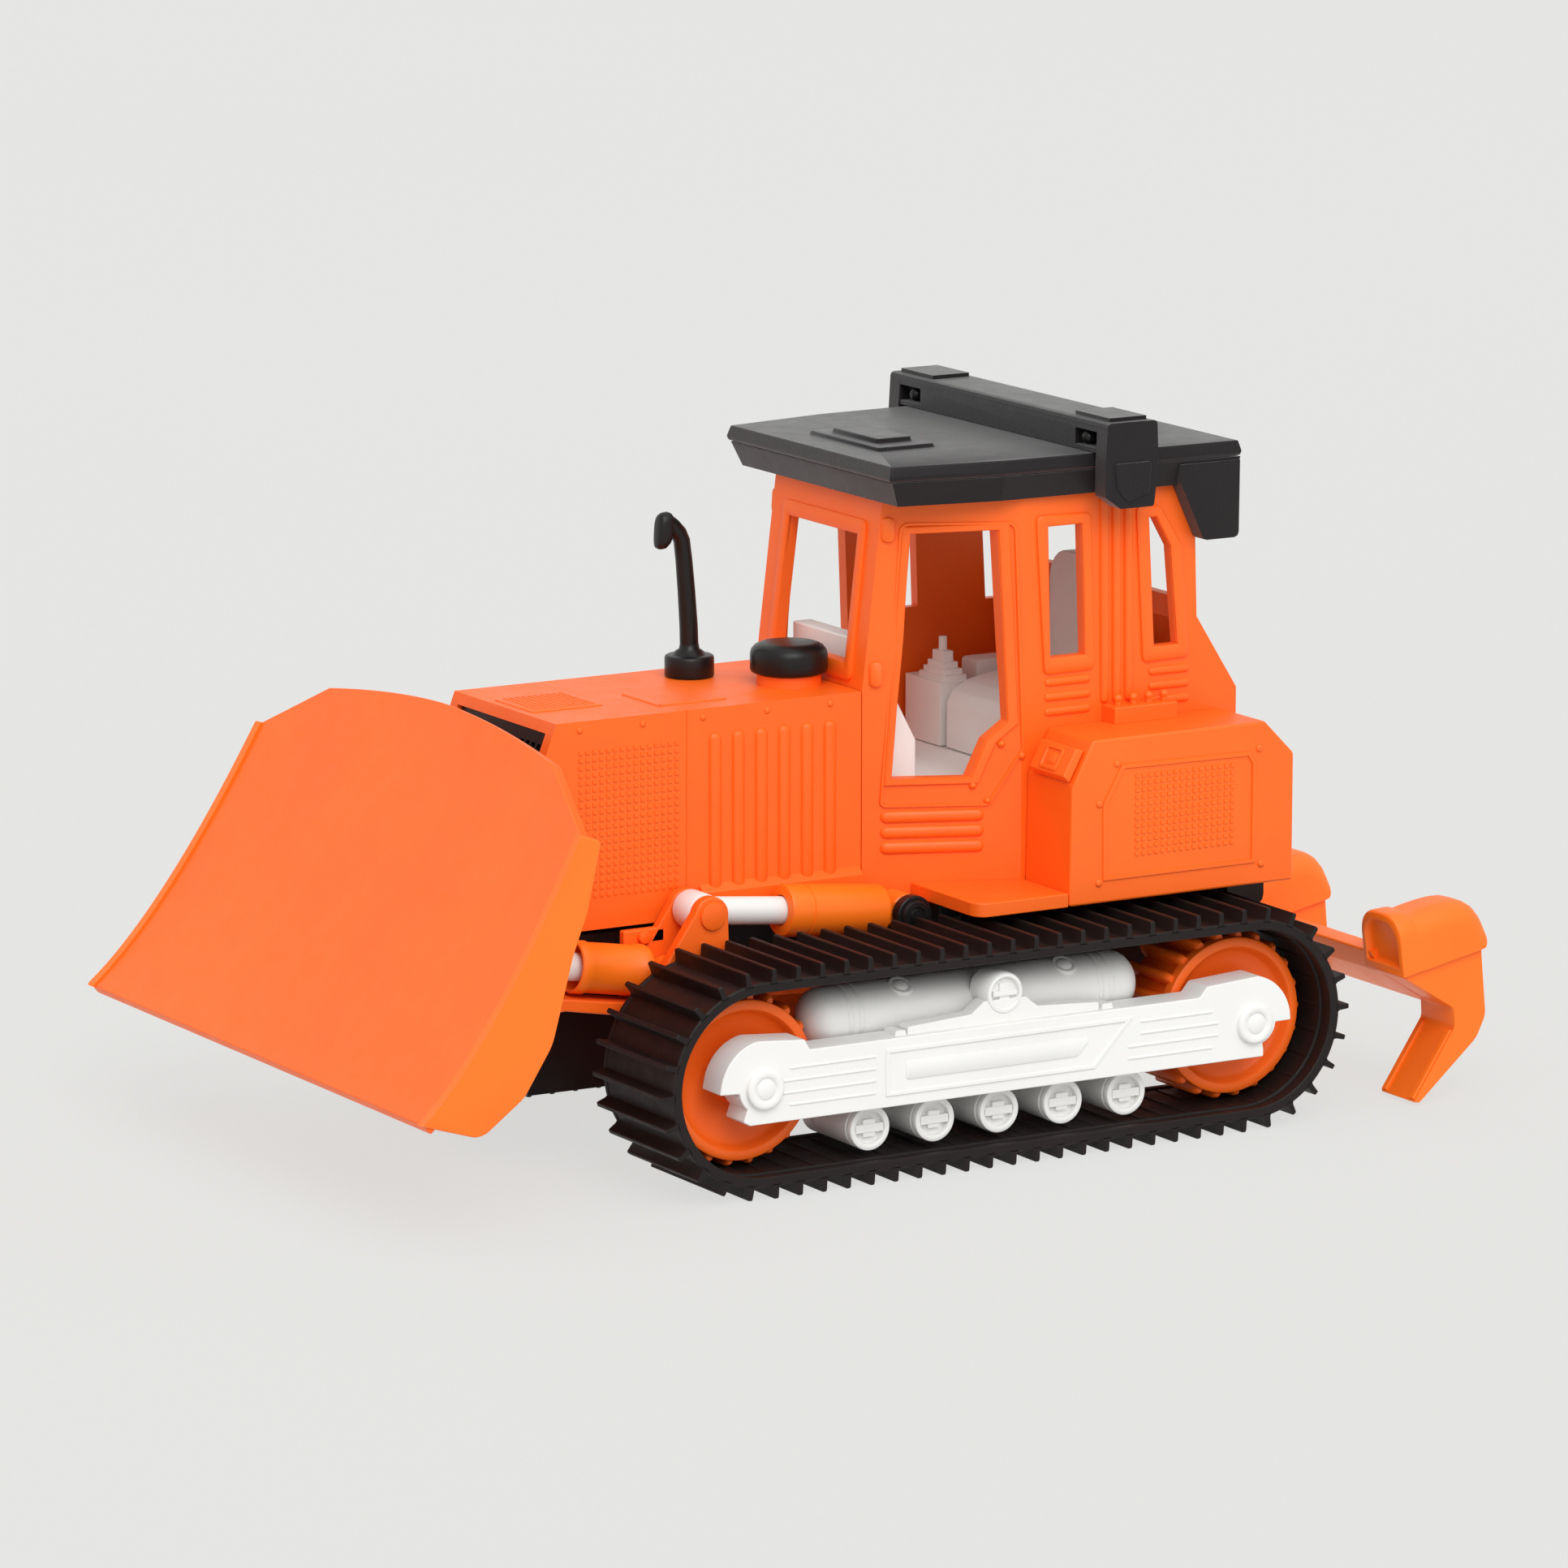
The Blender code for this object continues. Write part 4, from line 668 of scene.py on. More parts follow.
def hood_top_details():
    """A studded pad and two raised lines on the hood's top."""
    z = HOOD_TOP
    bm = bmesh.new()
    foot = rounded(rectangle(-11.5, 11.5, -92.5, -70.0), 1.5, 4)
    crown = rounded(rectangle(-11.1, 11.1, -92.1, -70.4), 1.3, 4)
    loft([[(px, py, z + h) for px, py in outline]
          for outline, h in ((foot, -0.3), (foot, 0.2), (crown, 0.4))], bm)
    for px in spread(-9.0, 9.0, 10):
        for py in spread(-90.0, -72.5, 10):
            loft([[(px + a * h, py + b * h, z + lift) for a, b in UNIT_SQUARE]
                  for h, lift in ((0.62, 0.3), (0.5, 0.62), (0.25, 0.7))], bm)
    for a, b in (((0, -57.5), (20.5, -57.4)), ((20.0, -57.4), (20.0, -36.5))):
        a, b = Vector(a), Vector(b)
        d = (b - a).normalized()
        n = Vector((-d.y, d.x))
        loft([[(*(a + n * w), z + h), (*(b + n * w), z + h), (*(b - n * w), z + h), (*(a - n * w), z + h)]
              for w, h in ((0.75, -0.2), (0.65, 0.3), (0.35, 0.5))], bm)
    finish("hood_top_relief", bm, "body_orange", angle=40)


def radiator():
    y = -100.5
    bm = bmesh.new()
    for x in spread(-22.4, 22.4, 15):
        outline = [(y + 1.5, 72), (y + 4.0, 72), (y + 4.0, 110), (y + 7.7, 119.8), (y + 5.6, 119.8),
                   (y + 1.5, 110.2)]
        prism(outline, "X", x - 0.55, x + 0.55, bm)
    finish("grille_slats", bm, "gloss_black", (), 0.25, 2)
    bm = prism([(y + 3.6, 71.4), (y + 5.0, 71.4), (y + 5.0, 111), (y + 8.4, 121.0), (y + 7.4, 121.0),
                (y + 3.6, 110.5)], "X", -24.7, 24.7)
    box((-24.7, 24.7), (y + 1.4, y + 4.5), (71.4, 74.0), bm)
    raked = [(y + 1.3, 71.4), (y + 4.5, 71.4), (y + 4.5, 110), (y + 8.2, 121.0), (y + 5.8, 121.0),
             (y + 1.3, 109.8)]
    prism(raked, "X", -24.7, -23.4, bm)
    prism(raked, "X", 23.4, 24.7, bm)
    prism([(y + 4.6, 117.6), (y + 7.6, 118.4), (y + 8.2, 121.1), (y + 5.6, 121.1)], "X", -24.7, 24.7, bm)
    finish("grille_frame", bm, "gloss_black", ["radiator_grille"], 0.3, 2)


def exhaust():
    """A collar, a pipe that bends forward and its flared mouth."""
    x, y, z = -15.5, -27.5, 124.8
    profile = [(0, z), (6.9, z), (7.0, z + 0.2), (7.0, z + 5.0), (6.8, z + 5.6), (6.2, z + 5.9),
               (5.0, z + 5.9), (4.6, z + 6.0), (4.0, z + 6.9), (2.9, z + 7.6), (2.65, z + 9.0), (0, z + 9.0)]
    bm = revolve(profile, "Z", (x, y), 56)
    path = [(0.0, 7.0, 2.65), (-0.2, 14, 2.6), (-0.9, 24, 2.5), (-1.7, 33, 2.4), (-2.4, 38.5, 2.35),
            (-3.4, 40.6, 2.4), (-5.4, 42.6, 2.5), (-7.2, 44.0, 2.5)]
    rings = []
    for i, (dy, dz, radius) in enumerate(path):
        before, after = path[max(i - 1, 0)], path[min(i + 1, len(path) - 1)]
        direction = Vector((0, after[0] - before[0], after[1] - before[1])).normalized()
        up = Vector((1, 0, 0)).cross(direction)
        centre = Vector((x, y + dy, z + dz))
        rings.append([tuple(centre + Vector((1, 0, 0)) * radius * c + up * radius * s)
                      for c, s in circle(32)])
    loft(rings, bm)
    tip = []
    mouth = ((-10.4, 1.6, 37.6, 45.2), (-10.1, 2.2, 36.9, 46.2), (-9.2, 2.6, 36.5, 46.8),
             (-7.6, 2.7, 36.6, 47.0), (-6.6, 2.6, 37.6, 46.6), (-5.8, 2.2, 40.0, 45.6))
    for dy, half_w, low, high in mouth:
        mid, half = (low + high) / 2, (high - low) / 2
        ring = []
        for c, s in circle(32):
            across, up = math.copysign(abs(c) ** 0.8, c), math.copysign(abs(s) ** 0.7, s)
            ring.append((x + half_w * across, y + dy + 0.10 * half * s, z + mid + half * up))
        tip.append(ring)
    loft(tip, bm)
    finish("exhaust_pipe", bm, "gloss_black", ["exhaust_stack"], angle=50)


def cleaner():
    z = 127.8
    profile = [(0, z), (9.9, z), (10.6, z + 0.3), (10.9, z + 1.0), (10.9, z + 5.2), (10.6, z + 6.4),
               (9.7, z + 7.5), (8.3, z + 8.2), (6.5, z + 8.55), (0, z + 8.6)]
    bm = revolve(profile, "Z", (8.0, -9.0), 72)
    finish("cleaner_dome", bm, "gloss_black", ["precleaner_cap"], angle=50)


def cab_front_y(z):
    """The cab's front wall, upright at first and raked above the hood."""
    return CAB_FRONT_Y if z < RAKE_START else CAB_FRONT_Y + RAKE_DEPTH * (z - RAKE_START) / RAKE_HEIGHT


def cab_side(hand, side):
    """Frames, ribs, louvres, pipes and rivets moulded on one side of the cab."""

    def wall(y, z):
        front = cab_front_y(z)
        guess = side * (29 + 17 * (y - front) / (44 - front) if y < 44 else CAB_SIDE)
        found = surface_x("cab_shell", y, z, side)
        if found is None or abs(found - guess) > 1.5:
            return guess
        return found

    bm = bmesh.new()
    door_out = rounded([(6.6, 91.4), (12.6, 171.4), (42.3, 171.4), (44.6, 106.8), (35.4, 91.2)],
                       [1.5, 2.5, 2.5, 1.5, 1.0], 4)
    door_in = rounded([(7.3, 92.2), (13.2, 170.6), (41.5, 170.6), (43.8, 107.1), (35.0, 92.0)],
                      [1.2, 2.0, 2.0, 1.2, 0.8], 4)
    band(bm, door_out, door_in, side, wall, 0.75, 0.2)
    hole_out = [(7.7, 97.6), (13.2, 170.3), (40.2, 170.9), (42.8, 114.4), (37.0, 109.0), (32.4, 97.6)]
    hole_in = [(9.7, 99.3), (15.2, 168.3), (37.5, 169.1), (40.3, 114.9), (34.8, 109.9), (30.7, 99.3)]
    band(bm, hole_out, hole_in, side, wall, 0.9, 0.3)
    for outer, inner in (
        ([(48.1, 172.4), (65.9, 172.1), (67.6, 127.6), (51.1, 127.4)],
         [(51.9, 169.2), (63.1, 169.2), (64.5, 131.9), (52.9, 131.9)]),
        ([(81.2, 172.6), (88.9, 172.2), (96.3, 160.6), (99.3, 128.3), (83.8, 127.9)],
         [(85.3, 169.1), (87.7, 169.1), (92.7, 160.2), (95.3, 132.1), (87.3, 132.1)]),
    ):
        outer = rounded(outer, 1.6, 4)
        inner = rounded(inner, 0.02, 4)
        band(bm, outer, inner, side, wall, 1.0, 0.35)
    for z in (125.0, 120.8, 116.6):
        rib(bm, side, wall, (51.5, z), (66.5, z), 1.2, 0.8)
        rib(bm, side, wall, (86.0, z), (99.5, z), 1.2, 0.8)
    for z in (88.6, 84.2, 79.8):
        rib(bm, side, wall, (7.0, z), (34.0, z), 1.75, 1.15)
    for y, z in ((38.6, 108.6), (44.0, 105.1), (31.2, 97.0), (35.1, 92.6)):
        rivet(bm, side, wall(y, z), y, z, 1.1, 1.25)
    for y, z0, z1 in ((9.4, 166.0, 173.0), (5.4, 125.6, 132.8)):
        bar_box = rounded([(y - 1.5, z0), (y + 1.5, z0), (y + 1.7, z1), (y - 1.3, z1)], 1.2, 3)
        pad(bm, bar_box, side, wall, 1.3, 0.4)
    for y in (71.2, 75.2, 79.2):
        rib(bm, side, wall, (y, 117.5), (y - 0.6, 176.0), 1.45, 1.35)
    finish(f"cab_relief_{hand}", bm, "body_orange", angle=40)

    bm = bmesh.new()
    side_box(side, 45.8, 53.0, (70.5, 91.5), (112.2, 117.2), bm)
    finish(f"pin_block_{hand}", bm, "body_orange", (), 0.5, 3)
    bm = bmesh.new()
    for y in (73.5, 78.6, 83.7, 88.8):
        profile = [(0, 117.0), (0.9, 117.0), (0.9, 118.0)]
        angles = [math.pi * k / 8 for k in range(2, 8)]
        profile += [(1.25 * math.sin(angle), 119.1 - 1.25 * math.cos(angle)) for angle in angles]
        profile.append((0, 120.35))
        revolve(profile, "Z", (side * 49.6, y), 24, bm)
    finish(f"ball_pins_{hand}", bm, "body_orange", angle=40)


def cab_front():
    """The raised frame round the windshield opening, on the raked front wall."""
    bm = bmesh.new()
    outer = rounded([(-23.2, 126.5), (23.2, 126.5), (22.6, 171.2), (-22.6, 171.2)], 2.0, 4)
    inner = rounded([(-19.3, 131.2), (19.3, 131.2), (18.9, 167.0), (-18.9, 167.0)], 0.02, 4)
    raised_frame(bm, outer, inner, lambda x, z, lift: (x, cab_front_y(z) - lift, z), 0.9, 0.3, 0.1)
    finish("windshield_frame", bm, "body_orange", angle=40)


def side_box_details(hand, side):
    x = side * BOX_SIDE
    bm = bmesh.new()
    outer = [(55.8, 72.4), (55.6, 94.0), (61.8, 104.9), (104.6, 104.4), (106.4, 101.5), (106.4, 72.4)]
    inner = [(57.2, 73.6), (57.0, 93.5), (62.6, 103.6), (103.8, 103.1), (105.2, 101.0), (105.2, 73.6)]
    band(bm, outer, inner, side, x, 0.5, 0.2)
    for y, z in ((60.3, 105.2), (54.6, 94.3), (54.5, 71.9), (107.7, 105.0), (108.6, 71.9)):
        rivet(bm, side, x, y, z, 1.15, 0.7)
    stud_grid(bm, side, x, spread(67.0, 98.6, 16), spread(79.0, 101.0, 12), 0.62, 0.42)
    finish(f"box_relief_{hand}", bm, "body_orange", angle=40)


def lamp_details(hand, side):
    """A plain square bezel with a domed lens on the lamp housing's sloping face."""
    slope = Vector((6.9, 12.5)).normalized()
    out = Vector((-slope.y, slope.x))
    middle = Vector((45.9, 100.6)) + slope * 5.1 + out * 3.05
    bm = bmesh.new()

    def ring(half_x, half_s, corner, lift):
        outline = rounded(rectangle(-half_x, half_x, -half_s, half_s), corner, 4)
        return [(side * (59.5 + u), *(middle + slope * v + out * lift)) for u, v in outline]

    bezel = [ring(4.4, 3.5, 1.1, -0.2), ring(4.4, 3.5, 1.1, 0.35), ring(4.1, 3.2, 0.9, 0.6),
             ring(3.6, 2.7, 0.7, 0.6), ring(3.4, 2.5, 0.6, 0.35), ring(3.3, 2.4, 0.6, -0.2)]
    rows = [[bm.verts.new(p) for p in points] for points in bezel]
    join([*rows, rows[0]], bm)
    loft([ring(2.5, 1.8, 1.2, -0.2), ring(2.4, 1.7, 1.15, 0.2), ring(1.9, 1.25, 0.9, 0.45),
          ring(1.0, 0.6, 0.4, 0.55)], bm)
    finish(f"lamp_relief_{hand}", bm, "body_orange", angle=40)


def roof_details():
    for hand, side in SIDES:
        bm = bmesh.new()
        outline = rounded([(66.5, 187.2), (78.2, 187.2), (77.6, 178.6), (70.8, 176.4), (67.4, 180.4)], 0.6, 3)
        slab(outline, side, 57.6, 58.7, bm)
        finish(f"bar_end_plate_{hand}", bm, "roof_black", (), 0.35, 2)
        profile = [(0, 63.7), (0.8, 63.8), (1.5, 64.2), (1.9, 65.0), (2.0, 66.0), (2.0, 66.9), (0, 66.9)]
        bm = revolve(profile, "Y", (side * 46.0, 193.3), 32)
        finish(f"bar_lamp_{hand}", bm, "gloss_black", [f"roof_lamp_{hand}"], angle=50)


# ---------------------------------------------------------------- blade and linkage

LIFT_PIVOT, ROD_PIN, BARREL_PIN = (-10.0, 40.0), (-57.0, 70.5), (8.0, 63.8)
PITCH_PIVOT, TILT_BARREL_PIN, TILT_ROD_PIN = (-147.0, 49.5), (-65.0, 54.0), (-138.0, 66.0)
LINK_X, BARREL_R = 39.5, 7.35
FOOT, CREST = Vector((-175.0, 36.2)), Vector((-116.7, 121.7))
FOOT_HALF, TOP_HALF, FLAT_HALF, SHOULDER_Z = 100.3, 94.5, 65.0, 107.3


def bezier(a, b, c, d, t):
    s = 1 - t
    return a * s**3 + 3 * b * s * s * t + 3 * c * s * t * t + d * t**3


def blade_face(z):
    """The curved face's Y at a height, found by halving along the curve."""
    lower = FOOT + Vector((0.77, 0.64)) * 25
    upper = CREST - Vector((0.45, 0.893)) * 40
    if z > CREST.y:
        return CREST.x + (z - CREST.y) * 0.5
    low, high = 0.0, 1.0
    for _ in range(30):
        t = (low + high) / 2
        low, high = (t, high) if bezier(FOOT.y, lower.y, upper.y, CREST.y, t) < z else (low, t)
    return bezier(FOOT.x, lower.x, upper.x, CREST.x, low)


def blade_half_width(z):
    share = min(1.0, (z - FOOT.y) / (SHOULDER_Z - FOOT.y))
    return FOOT_HALF + (TOP_HALF - FOOT_HALF) * share


def blade_top(u):
    """The top edge's height, where u runs from -1 to 1 across the blade."""
    x = abs(u) * TOP_HALF
    if x <= FLAT_HALF:
        return CREST.y + 5.5 * (1 - (x / FLAT_HALF) ** 1.7)
    return CREST.y + (SHOULDER_Z - CREST.y) * (x - FLAT_HALF) / (TOP_HALF - FLAT_HALF)


def blade_plate():
    """The curved plate, as a front and a back sheet joined round the edge."""
    columns = sorted({*spread(-1, 1, 41), -FLAT_HALF / TOP_HALF, FLAT_HALF / TOP_HALF})
    rows = 42
    bm = bmesh.new()
    front, back = [], []
    for u in columns:
        lines = ([], [])
        for k in range(rows):
            z = FOOT.y + (blade_top(u) - FOOT.y) * k / (rows - 1)
            x = u * (blade_half_width(z) - 1.0)
            slope = (blade_face(z + 0.5) - blade_face(z - 0.5 if k else z)) / (1.0 if k else 0.5)
            normal = Vector((1, -slope)).normalized() * 3.4
            y = blade_face(z) + 0.8
            lines[0].append(bm.verts.new((x, y, z)))
            lines[1].append(bm.verts.new((x, y + normal.x, z + normal.y)))
        front.append(lines[0])
        back.append(lines[1])
    last_u, last_k = len(columns) - 1, rows - 1
    for i in range(last_u):
        for k in range(last_k):
            bm.faces.new((front[i][k], front[i + 1][k], front[i + 1][k + 1], front[i][k + 1]))
            bm.faces.new((back[i][k], back[i][k + 1], back[i + 1][k + 1], back[i + 1][k]))
        for k in (0, last_k):
            bm.faces.new((front[i][k], front[i + 1][k], back[i + 1][k], back[i][k]))
    for i in (0, last_u):
        for k in range(last_k):
            bm.faces.new((front[i][k], front[i][k + 1], back[i][k + 1], back[i][k]))
    finish("blade_plate", bm, "body_orange", ["blade"], 0.5, 3, 40, body="blade")


def blade():
    blade_plate()
    for hand, side in SIDES:
        z_top = SHOULDER_Z + 0.8
        heights = [z_top - (z_top - FOOT.y) * k / 28 for k in range(29)]
        outline = [(blade_face(z) + 0.02, z) for z in heights]
        heel = [(-157.7, 30.9), (-144.3, 40.2), (-135.1, 53.3), (-127.5, 76.8), (-122.7, 87.7),
                (-117.6, 106.0)]
        outline += rounded([(-175, 36.2), *heel, (-124, 108)], [0, 6, 8, 16, 24, 0, 1, 0], 8)[1:-1]
        cy, cz = -142.0, 70.0
        bm = bmesh.new()
        rings = []
        for inset, x in ((0.0, -3.2), (0.0, -0.7), (0.25, -0.2), (0.7, 0.0)):
            share = 1 - inset / 40
            ring = []
            for y, z in outline:
                zz = cz + (z - cz) * share
                ring.append((side * (blade_half_width(zz) + x), cy + (y - cy) * share, zz))
            rings.append(ring)
        loft(rings, bm)
        finish(f"blade_cheek_{hand}", bm, "blade_orange", angle=40, body="blade")
        bm = bmesh.new()
        bracket = [(blade_face(41) + 3.0, 41.5), *arc(PITCH_PIVOT, 5.2, -90, 20, 10),
                   *arc(TILT_ROD_PIN, 4.8, -40, 100, 12), (blade_face(72) + 3.0, 72.5),
                   (blade_face(60) + 3.0, 60), (blade_face(50) + 3.0, 50)]
        for near, far in ((31.3, 34.9), (44.1, 47.7)):
            slab(bracket, side, near, far, bm)
        finish(f"blade_bracket_{hand}", bm, "blade_orange", (), 0.5, 3, body="blade")
        bm = bmesh.new()
        for pivot in (PITCH_PIVOT, TILT_ROD_PIN):
            cylinder("X", pivot, 2.0, side * 33, side * 46, 32, bm)
            cylinder("X", pivot, 3.1, side * 47.2, side * 48.3, 32, bm)
        finish(f"blade_pins_{hand}", bm, "blade_orange", angle=40, body="blade")


def lever_outline():
    rear = [(-72.4, 57.0), (-73.6, 49.6), (-76.0, 47.4), (-80.0, 47.2), (-80.0, 44.2)]
    return [(-51.0, 44.2), *arc(ROD_PIN, 5.3, -10, 165, 16), *rear]


def arm_outline():
    top = [(-52, 46.4), (-70, 47.4), (-76, 47.6), (-80, 48.1), (-100, 51.4), (-130, 53.6)]
    under = [(-130, 46.4), (-118, 47.4), (-101, 48.1), (-84, 45.0), (-74, 43.4), (-69, 42.6)]
    over_axle = [(-68.2, 44.0), (-61.2, 44.0), (-60.4, 39.7), (-50, 38.2)]
    return [*arc(LIFT_PIVOT, 4.6, -98, 82, 14), *top, *under, *over_axle]


def push_frame():
    y_tip, z_tip = PITCH_PIVOT
    for hand, side in SIDES:
        bm = slab(arm_outline(), side, 34, 45)
        nose = [(-124, 53.0), (-124, 46.6), (y_tip + 2, z_tip - 3.9), *arc(PITCH_PIVOT, 4.4, 260, 100, 10)]
        slab(nose, side, 35.4, 43.6, bm)
        side_box(side, 31.4, 48.1, (-79, -52), (44.2, 47.2), bm)
        side_box(side, 31.6, 34.4, (-77, -64), (61.6, 65.8), bm)
        covered = ["push_frame"] if side > 0 else ()
        finish(f"push_arm_{hand}", bm, "body_orange", covered, 0.6, 3, body="push_frame")
        bm = bmesh.new()
        for near, far in ((31.3, 34.4), (44.6, 48.2)):
            slab(lever_outline(), side, near, far, bm)
        finish(f"push_lever_{hand}", bm, "body_orange", (), 0.55, 3, body="push_frame")
        bm = bmesh.new()
        cylinder("X", ROD_PIN, 2.2, side * 33, side * 46, 32, bm)
        cylinder("X", TILT_BARREL_PIN, 2.0, side * 33, side * 46, 32, bm)
        cylinder("X", ROD_PIN, 3.9, side * 47.6, side * 49.2, 40, bm, 0.5)
        cylinder("X", (-71.0, 63.7), 1.9, side * 33.9, side * 36.0, 32, bm, 0.7)
        finish(f"push_pins_{hand}", bm, "body_orange", angle=40, body="push_frame")
    bm = box((-36, 36), (-129.5, -124), (47.0, 53.0))
    box((-30.8, 30.8), (-139, -124), (45.6, 54.4), bm)
    finish("push_crossbar", bm, "body_orange", (), 0.7, 3, body="push_frame")


def link_matrix(pivot, target, side, ahead=-1):
    """Places a piece at its pivot so that its -Y (ahead -1) or +Y (ahead 1) meets a target."""
    dy, dz = target[0] - pivot[0], target[1] - pivot[1]
    turn = math.atan2(ahead * dz, ahead * dy)
    return Matrix.Translation(Vector((side * LINK_X, *pivot))) @ Matrix.Rotation(turn, 4, "X")


def link(name, bm, material, node, matrix):
    bmesh.ops.transform(bm, matrix=matrix, verts=bm.verts)
    finish(name, bm, material, [node], angle=40, body=BODY_OF[node])


def barrel(node, pivot, target, front, tail, eye_r, side, stepped):
    """A cylinder's body and its eye. A stepped one has a wider mouth and a ring."""
    bm = bmesh.new()
    r, tip, heel = BARREL_R, -front, -tail
    if stepped:
        profile = [(4.15, heel - 3.5), (4.15, tip + 6.0), (r - 1.0, tip + 6.0), (r - 1.0, tip + 0.3),
                   (r - 0.8, tip), (r - 0.4, tip), (r - 0.1, tip + 0.15), (r, tip + 0.5), (r, tip + 3.4),
                   (r - 0.35, tip + 3.9), (r - 0.35, heel - 3.6), (r, heel - 3.1)]
    else:
        profile = [(4.15, heel - 3.5), (4.15, tip + 0.5), (4.4, tip), (r - 0.9, tip), (r - 0.25, tip + 0.25),
                   (r, tip + 0.9), (r, tip + 6.6), (r - 0.3, tip + 6.8), (r - 0.3, tip + 7.3), (r, tip + 7.5)]
    profile += [(r, heel - 0.9), (r - 0.25, heel - 0.25), (r - 0.9, heel), (0.01, heel), (0.01, heel - 3.5)]
    revolve(profile, "Y", (0, 0), 64, bm)
    box((-4.5, 4.5), (heel - 1.0, -1.5), (-3.0, 3.0), bm)
    eye = [(2.45, -4.5), (eye_r - 0.4, -4.5), (eye_r, -4.1), (eye_r, 4.1), (eye_r - 0.4, 4.5), (2.45, 4.5)]
    revolve(eye, "X", (0, 0), 48, bm)
    link(f"{node}_body", bm, "cylinder_orange", node, link_matrix(pivot, target, side))


def rod(node, pivot, target, length, eye_r, eye_half, side):
    """A cylinder's rod, with a rounded eye on its end."""
    bm = bmesh.new()
    cylinder("Y", (0, 0), 3.9, 2.5, length, 48, bm, 0.5)
    r, h = eye_r, eye_half
    eye = [(2.8, -h), (r - 0.9, -h), (r - 0.3, -h + 0.3), (r, -h + 1.0),
           (r, h - 1.0), (r - 0.3, h - 0.3), (r - 0.9, h), (2.8, h)]
    revolve(eye, "X", (0, 0), 56, bm)
    link(f"{node}_body", bm, "frame_white", node, link_matrix(pivot, target, side, 1))


def linkage(hand, side):
    barrel(f"lift_barrel_{hand}", BARREL_PIN, ROD_PIN, 38.6, 6.6, 5.2, side, False)
    rod(f"lift_rod_{hand}", ROD_PIN, BARREL_PIN, 50.5, 5.4, 4.7, side)
    barrel(f"tilt_barrel_{hand}", TILT_BARREL_PIN, TILT_ROD_PIN, 32.0, 9.2, 4.2, side, True)
    rod(f"tilt_rod_{hand}", TILT_ROD_PIN, TILT_BARREL_PIN, 54.0, 4.2, 4.0, side)
    y = BARREL_PIN[0]
    ear = [(y - 5.4, 50), (y + 5.4, 50), *arc(BARREL_PIN, 5.5, -10, 190, 18)]
    bm = side_box(side, 30.0, 34.2, (y - 5.2, y + 5.2), (50, 65.5))
    slab(ear, side, 44.8, 48.4, bm)
    side_box(side, 25.3, 48.4, (y - 5.4, y + 5.4), (46.5, 51), bm)
    finish(f"lift_bracket_{hand}", bm, "gloss_black", [f"cylinder_bracket_{hand}"], 0.5, 3)
    bm = cylinder("X", BARREL_PIN, 2.2, side * 33, side * 46, 32)
    head = [(0, 48.2), (4.3, 48.2), (4.3, 49.0), (3.9, 49.5), (2.6, 49.6), (2.3, 49.2), (2.1, 49.2),
            (1.8, 49.6), (0, 49.6)]
    turned(head, side, BARREL_PIN, 48, bm)
    finish(f"lift_bracket_pin_{hand}", bm, "gloss_black", angle=40)


# ---------------------------------------------------------------- ripper

SHANK_X, HEAD_HALF = 78.8, 9.75


def arch_ring(x, foot, top, half, corner, steps=10):
    foot, top = Vector(foot), Vector(top)
    height = (top - foot).length
    up = (top - foot) / height
    r = min(corner, height * 0.8)
    ring = [(x - half, *foot), (x + half, *foot)]
    for centre, start in ((half - r, 0), (r - half, 90)):
        for px, pz in arc((centre, height - r), r, start, start + 90, steps):
            ring.append((x + px, *(foot + up * pz)))
    return ring


def ripper_head(bm, x):
    """An arched head with a shallow socket in its front face."""
    spines = [((145.2, 38.4), (142.9, 55.1)), ((145.4, 38.3), (143.2, 55.6)), ((145.9, 38.4), (143.8, 55.9)),
              ((149.4, 39.2), (148.4, 56.2)), ((149.9, 39.3), (148.9, 56.1)), ((150.4, 39.4), (149.4, 55.5)),
              ((151.0, 39.5), (150.2, 55.5)), ((154.0, 40.0), (154.2, 56.4)), ((157.5, 40.7), (158.6, 57.2)),
              ((160.5, 41.3), (162.6, 57.7)), ((163.0, 41.8), (166.0, 57.7)), ((166.0, 42.4), (168.8, 57.0)),
              ((168.6, 42.9), (171.2, 55.6)), ((170.6, 43.3), (173.1, 53.4)), ((172.0, 43.6), (174.1, 50.8)),
              ((173.0, 43.9), (174.6, 47.6)), ((173.3, 44.0), (174.4, 46.0))]
    rings = [arch_ring(x, foot, top, HEAD_HALF - (0.35 if i == 0 else 0.0), 7.0)
             for i, (foot, top) in enumerate(spines)]
    outside = [[bm.verts.new(p) for p in ring] for ring in rings]
    front = spines[0]
    lean = Vector((front[1][0] - front[0][0], front[1][1] - front[0][1])).normalized()
    hollow = []
    for inset, depth in ((1.6, 0.0), (1.9, 0.3), (2.2, 1.9), (2.8, 2.3)):
        inwards = Vector((depth, depth * 0.12))
        foot = Vector(front[0]) + lean * (inset + 0.4) + inwards
        top = Vector(front[1]) - lean * inset + inwards
        hollow.append([bm.verts.new(p) for p in arch_ring(x, foot, top, HEAD_HALF - inset,
                7.0 - inset * 0.6)])
    join(outside, bm)
    join([*reversed(hollow), outside[0]], bm)
    bm.faces.new(outside[-1])
    bm.faces.new(hollow[-1])


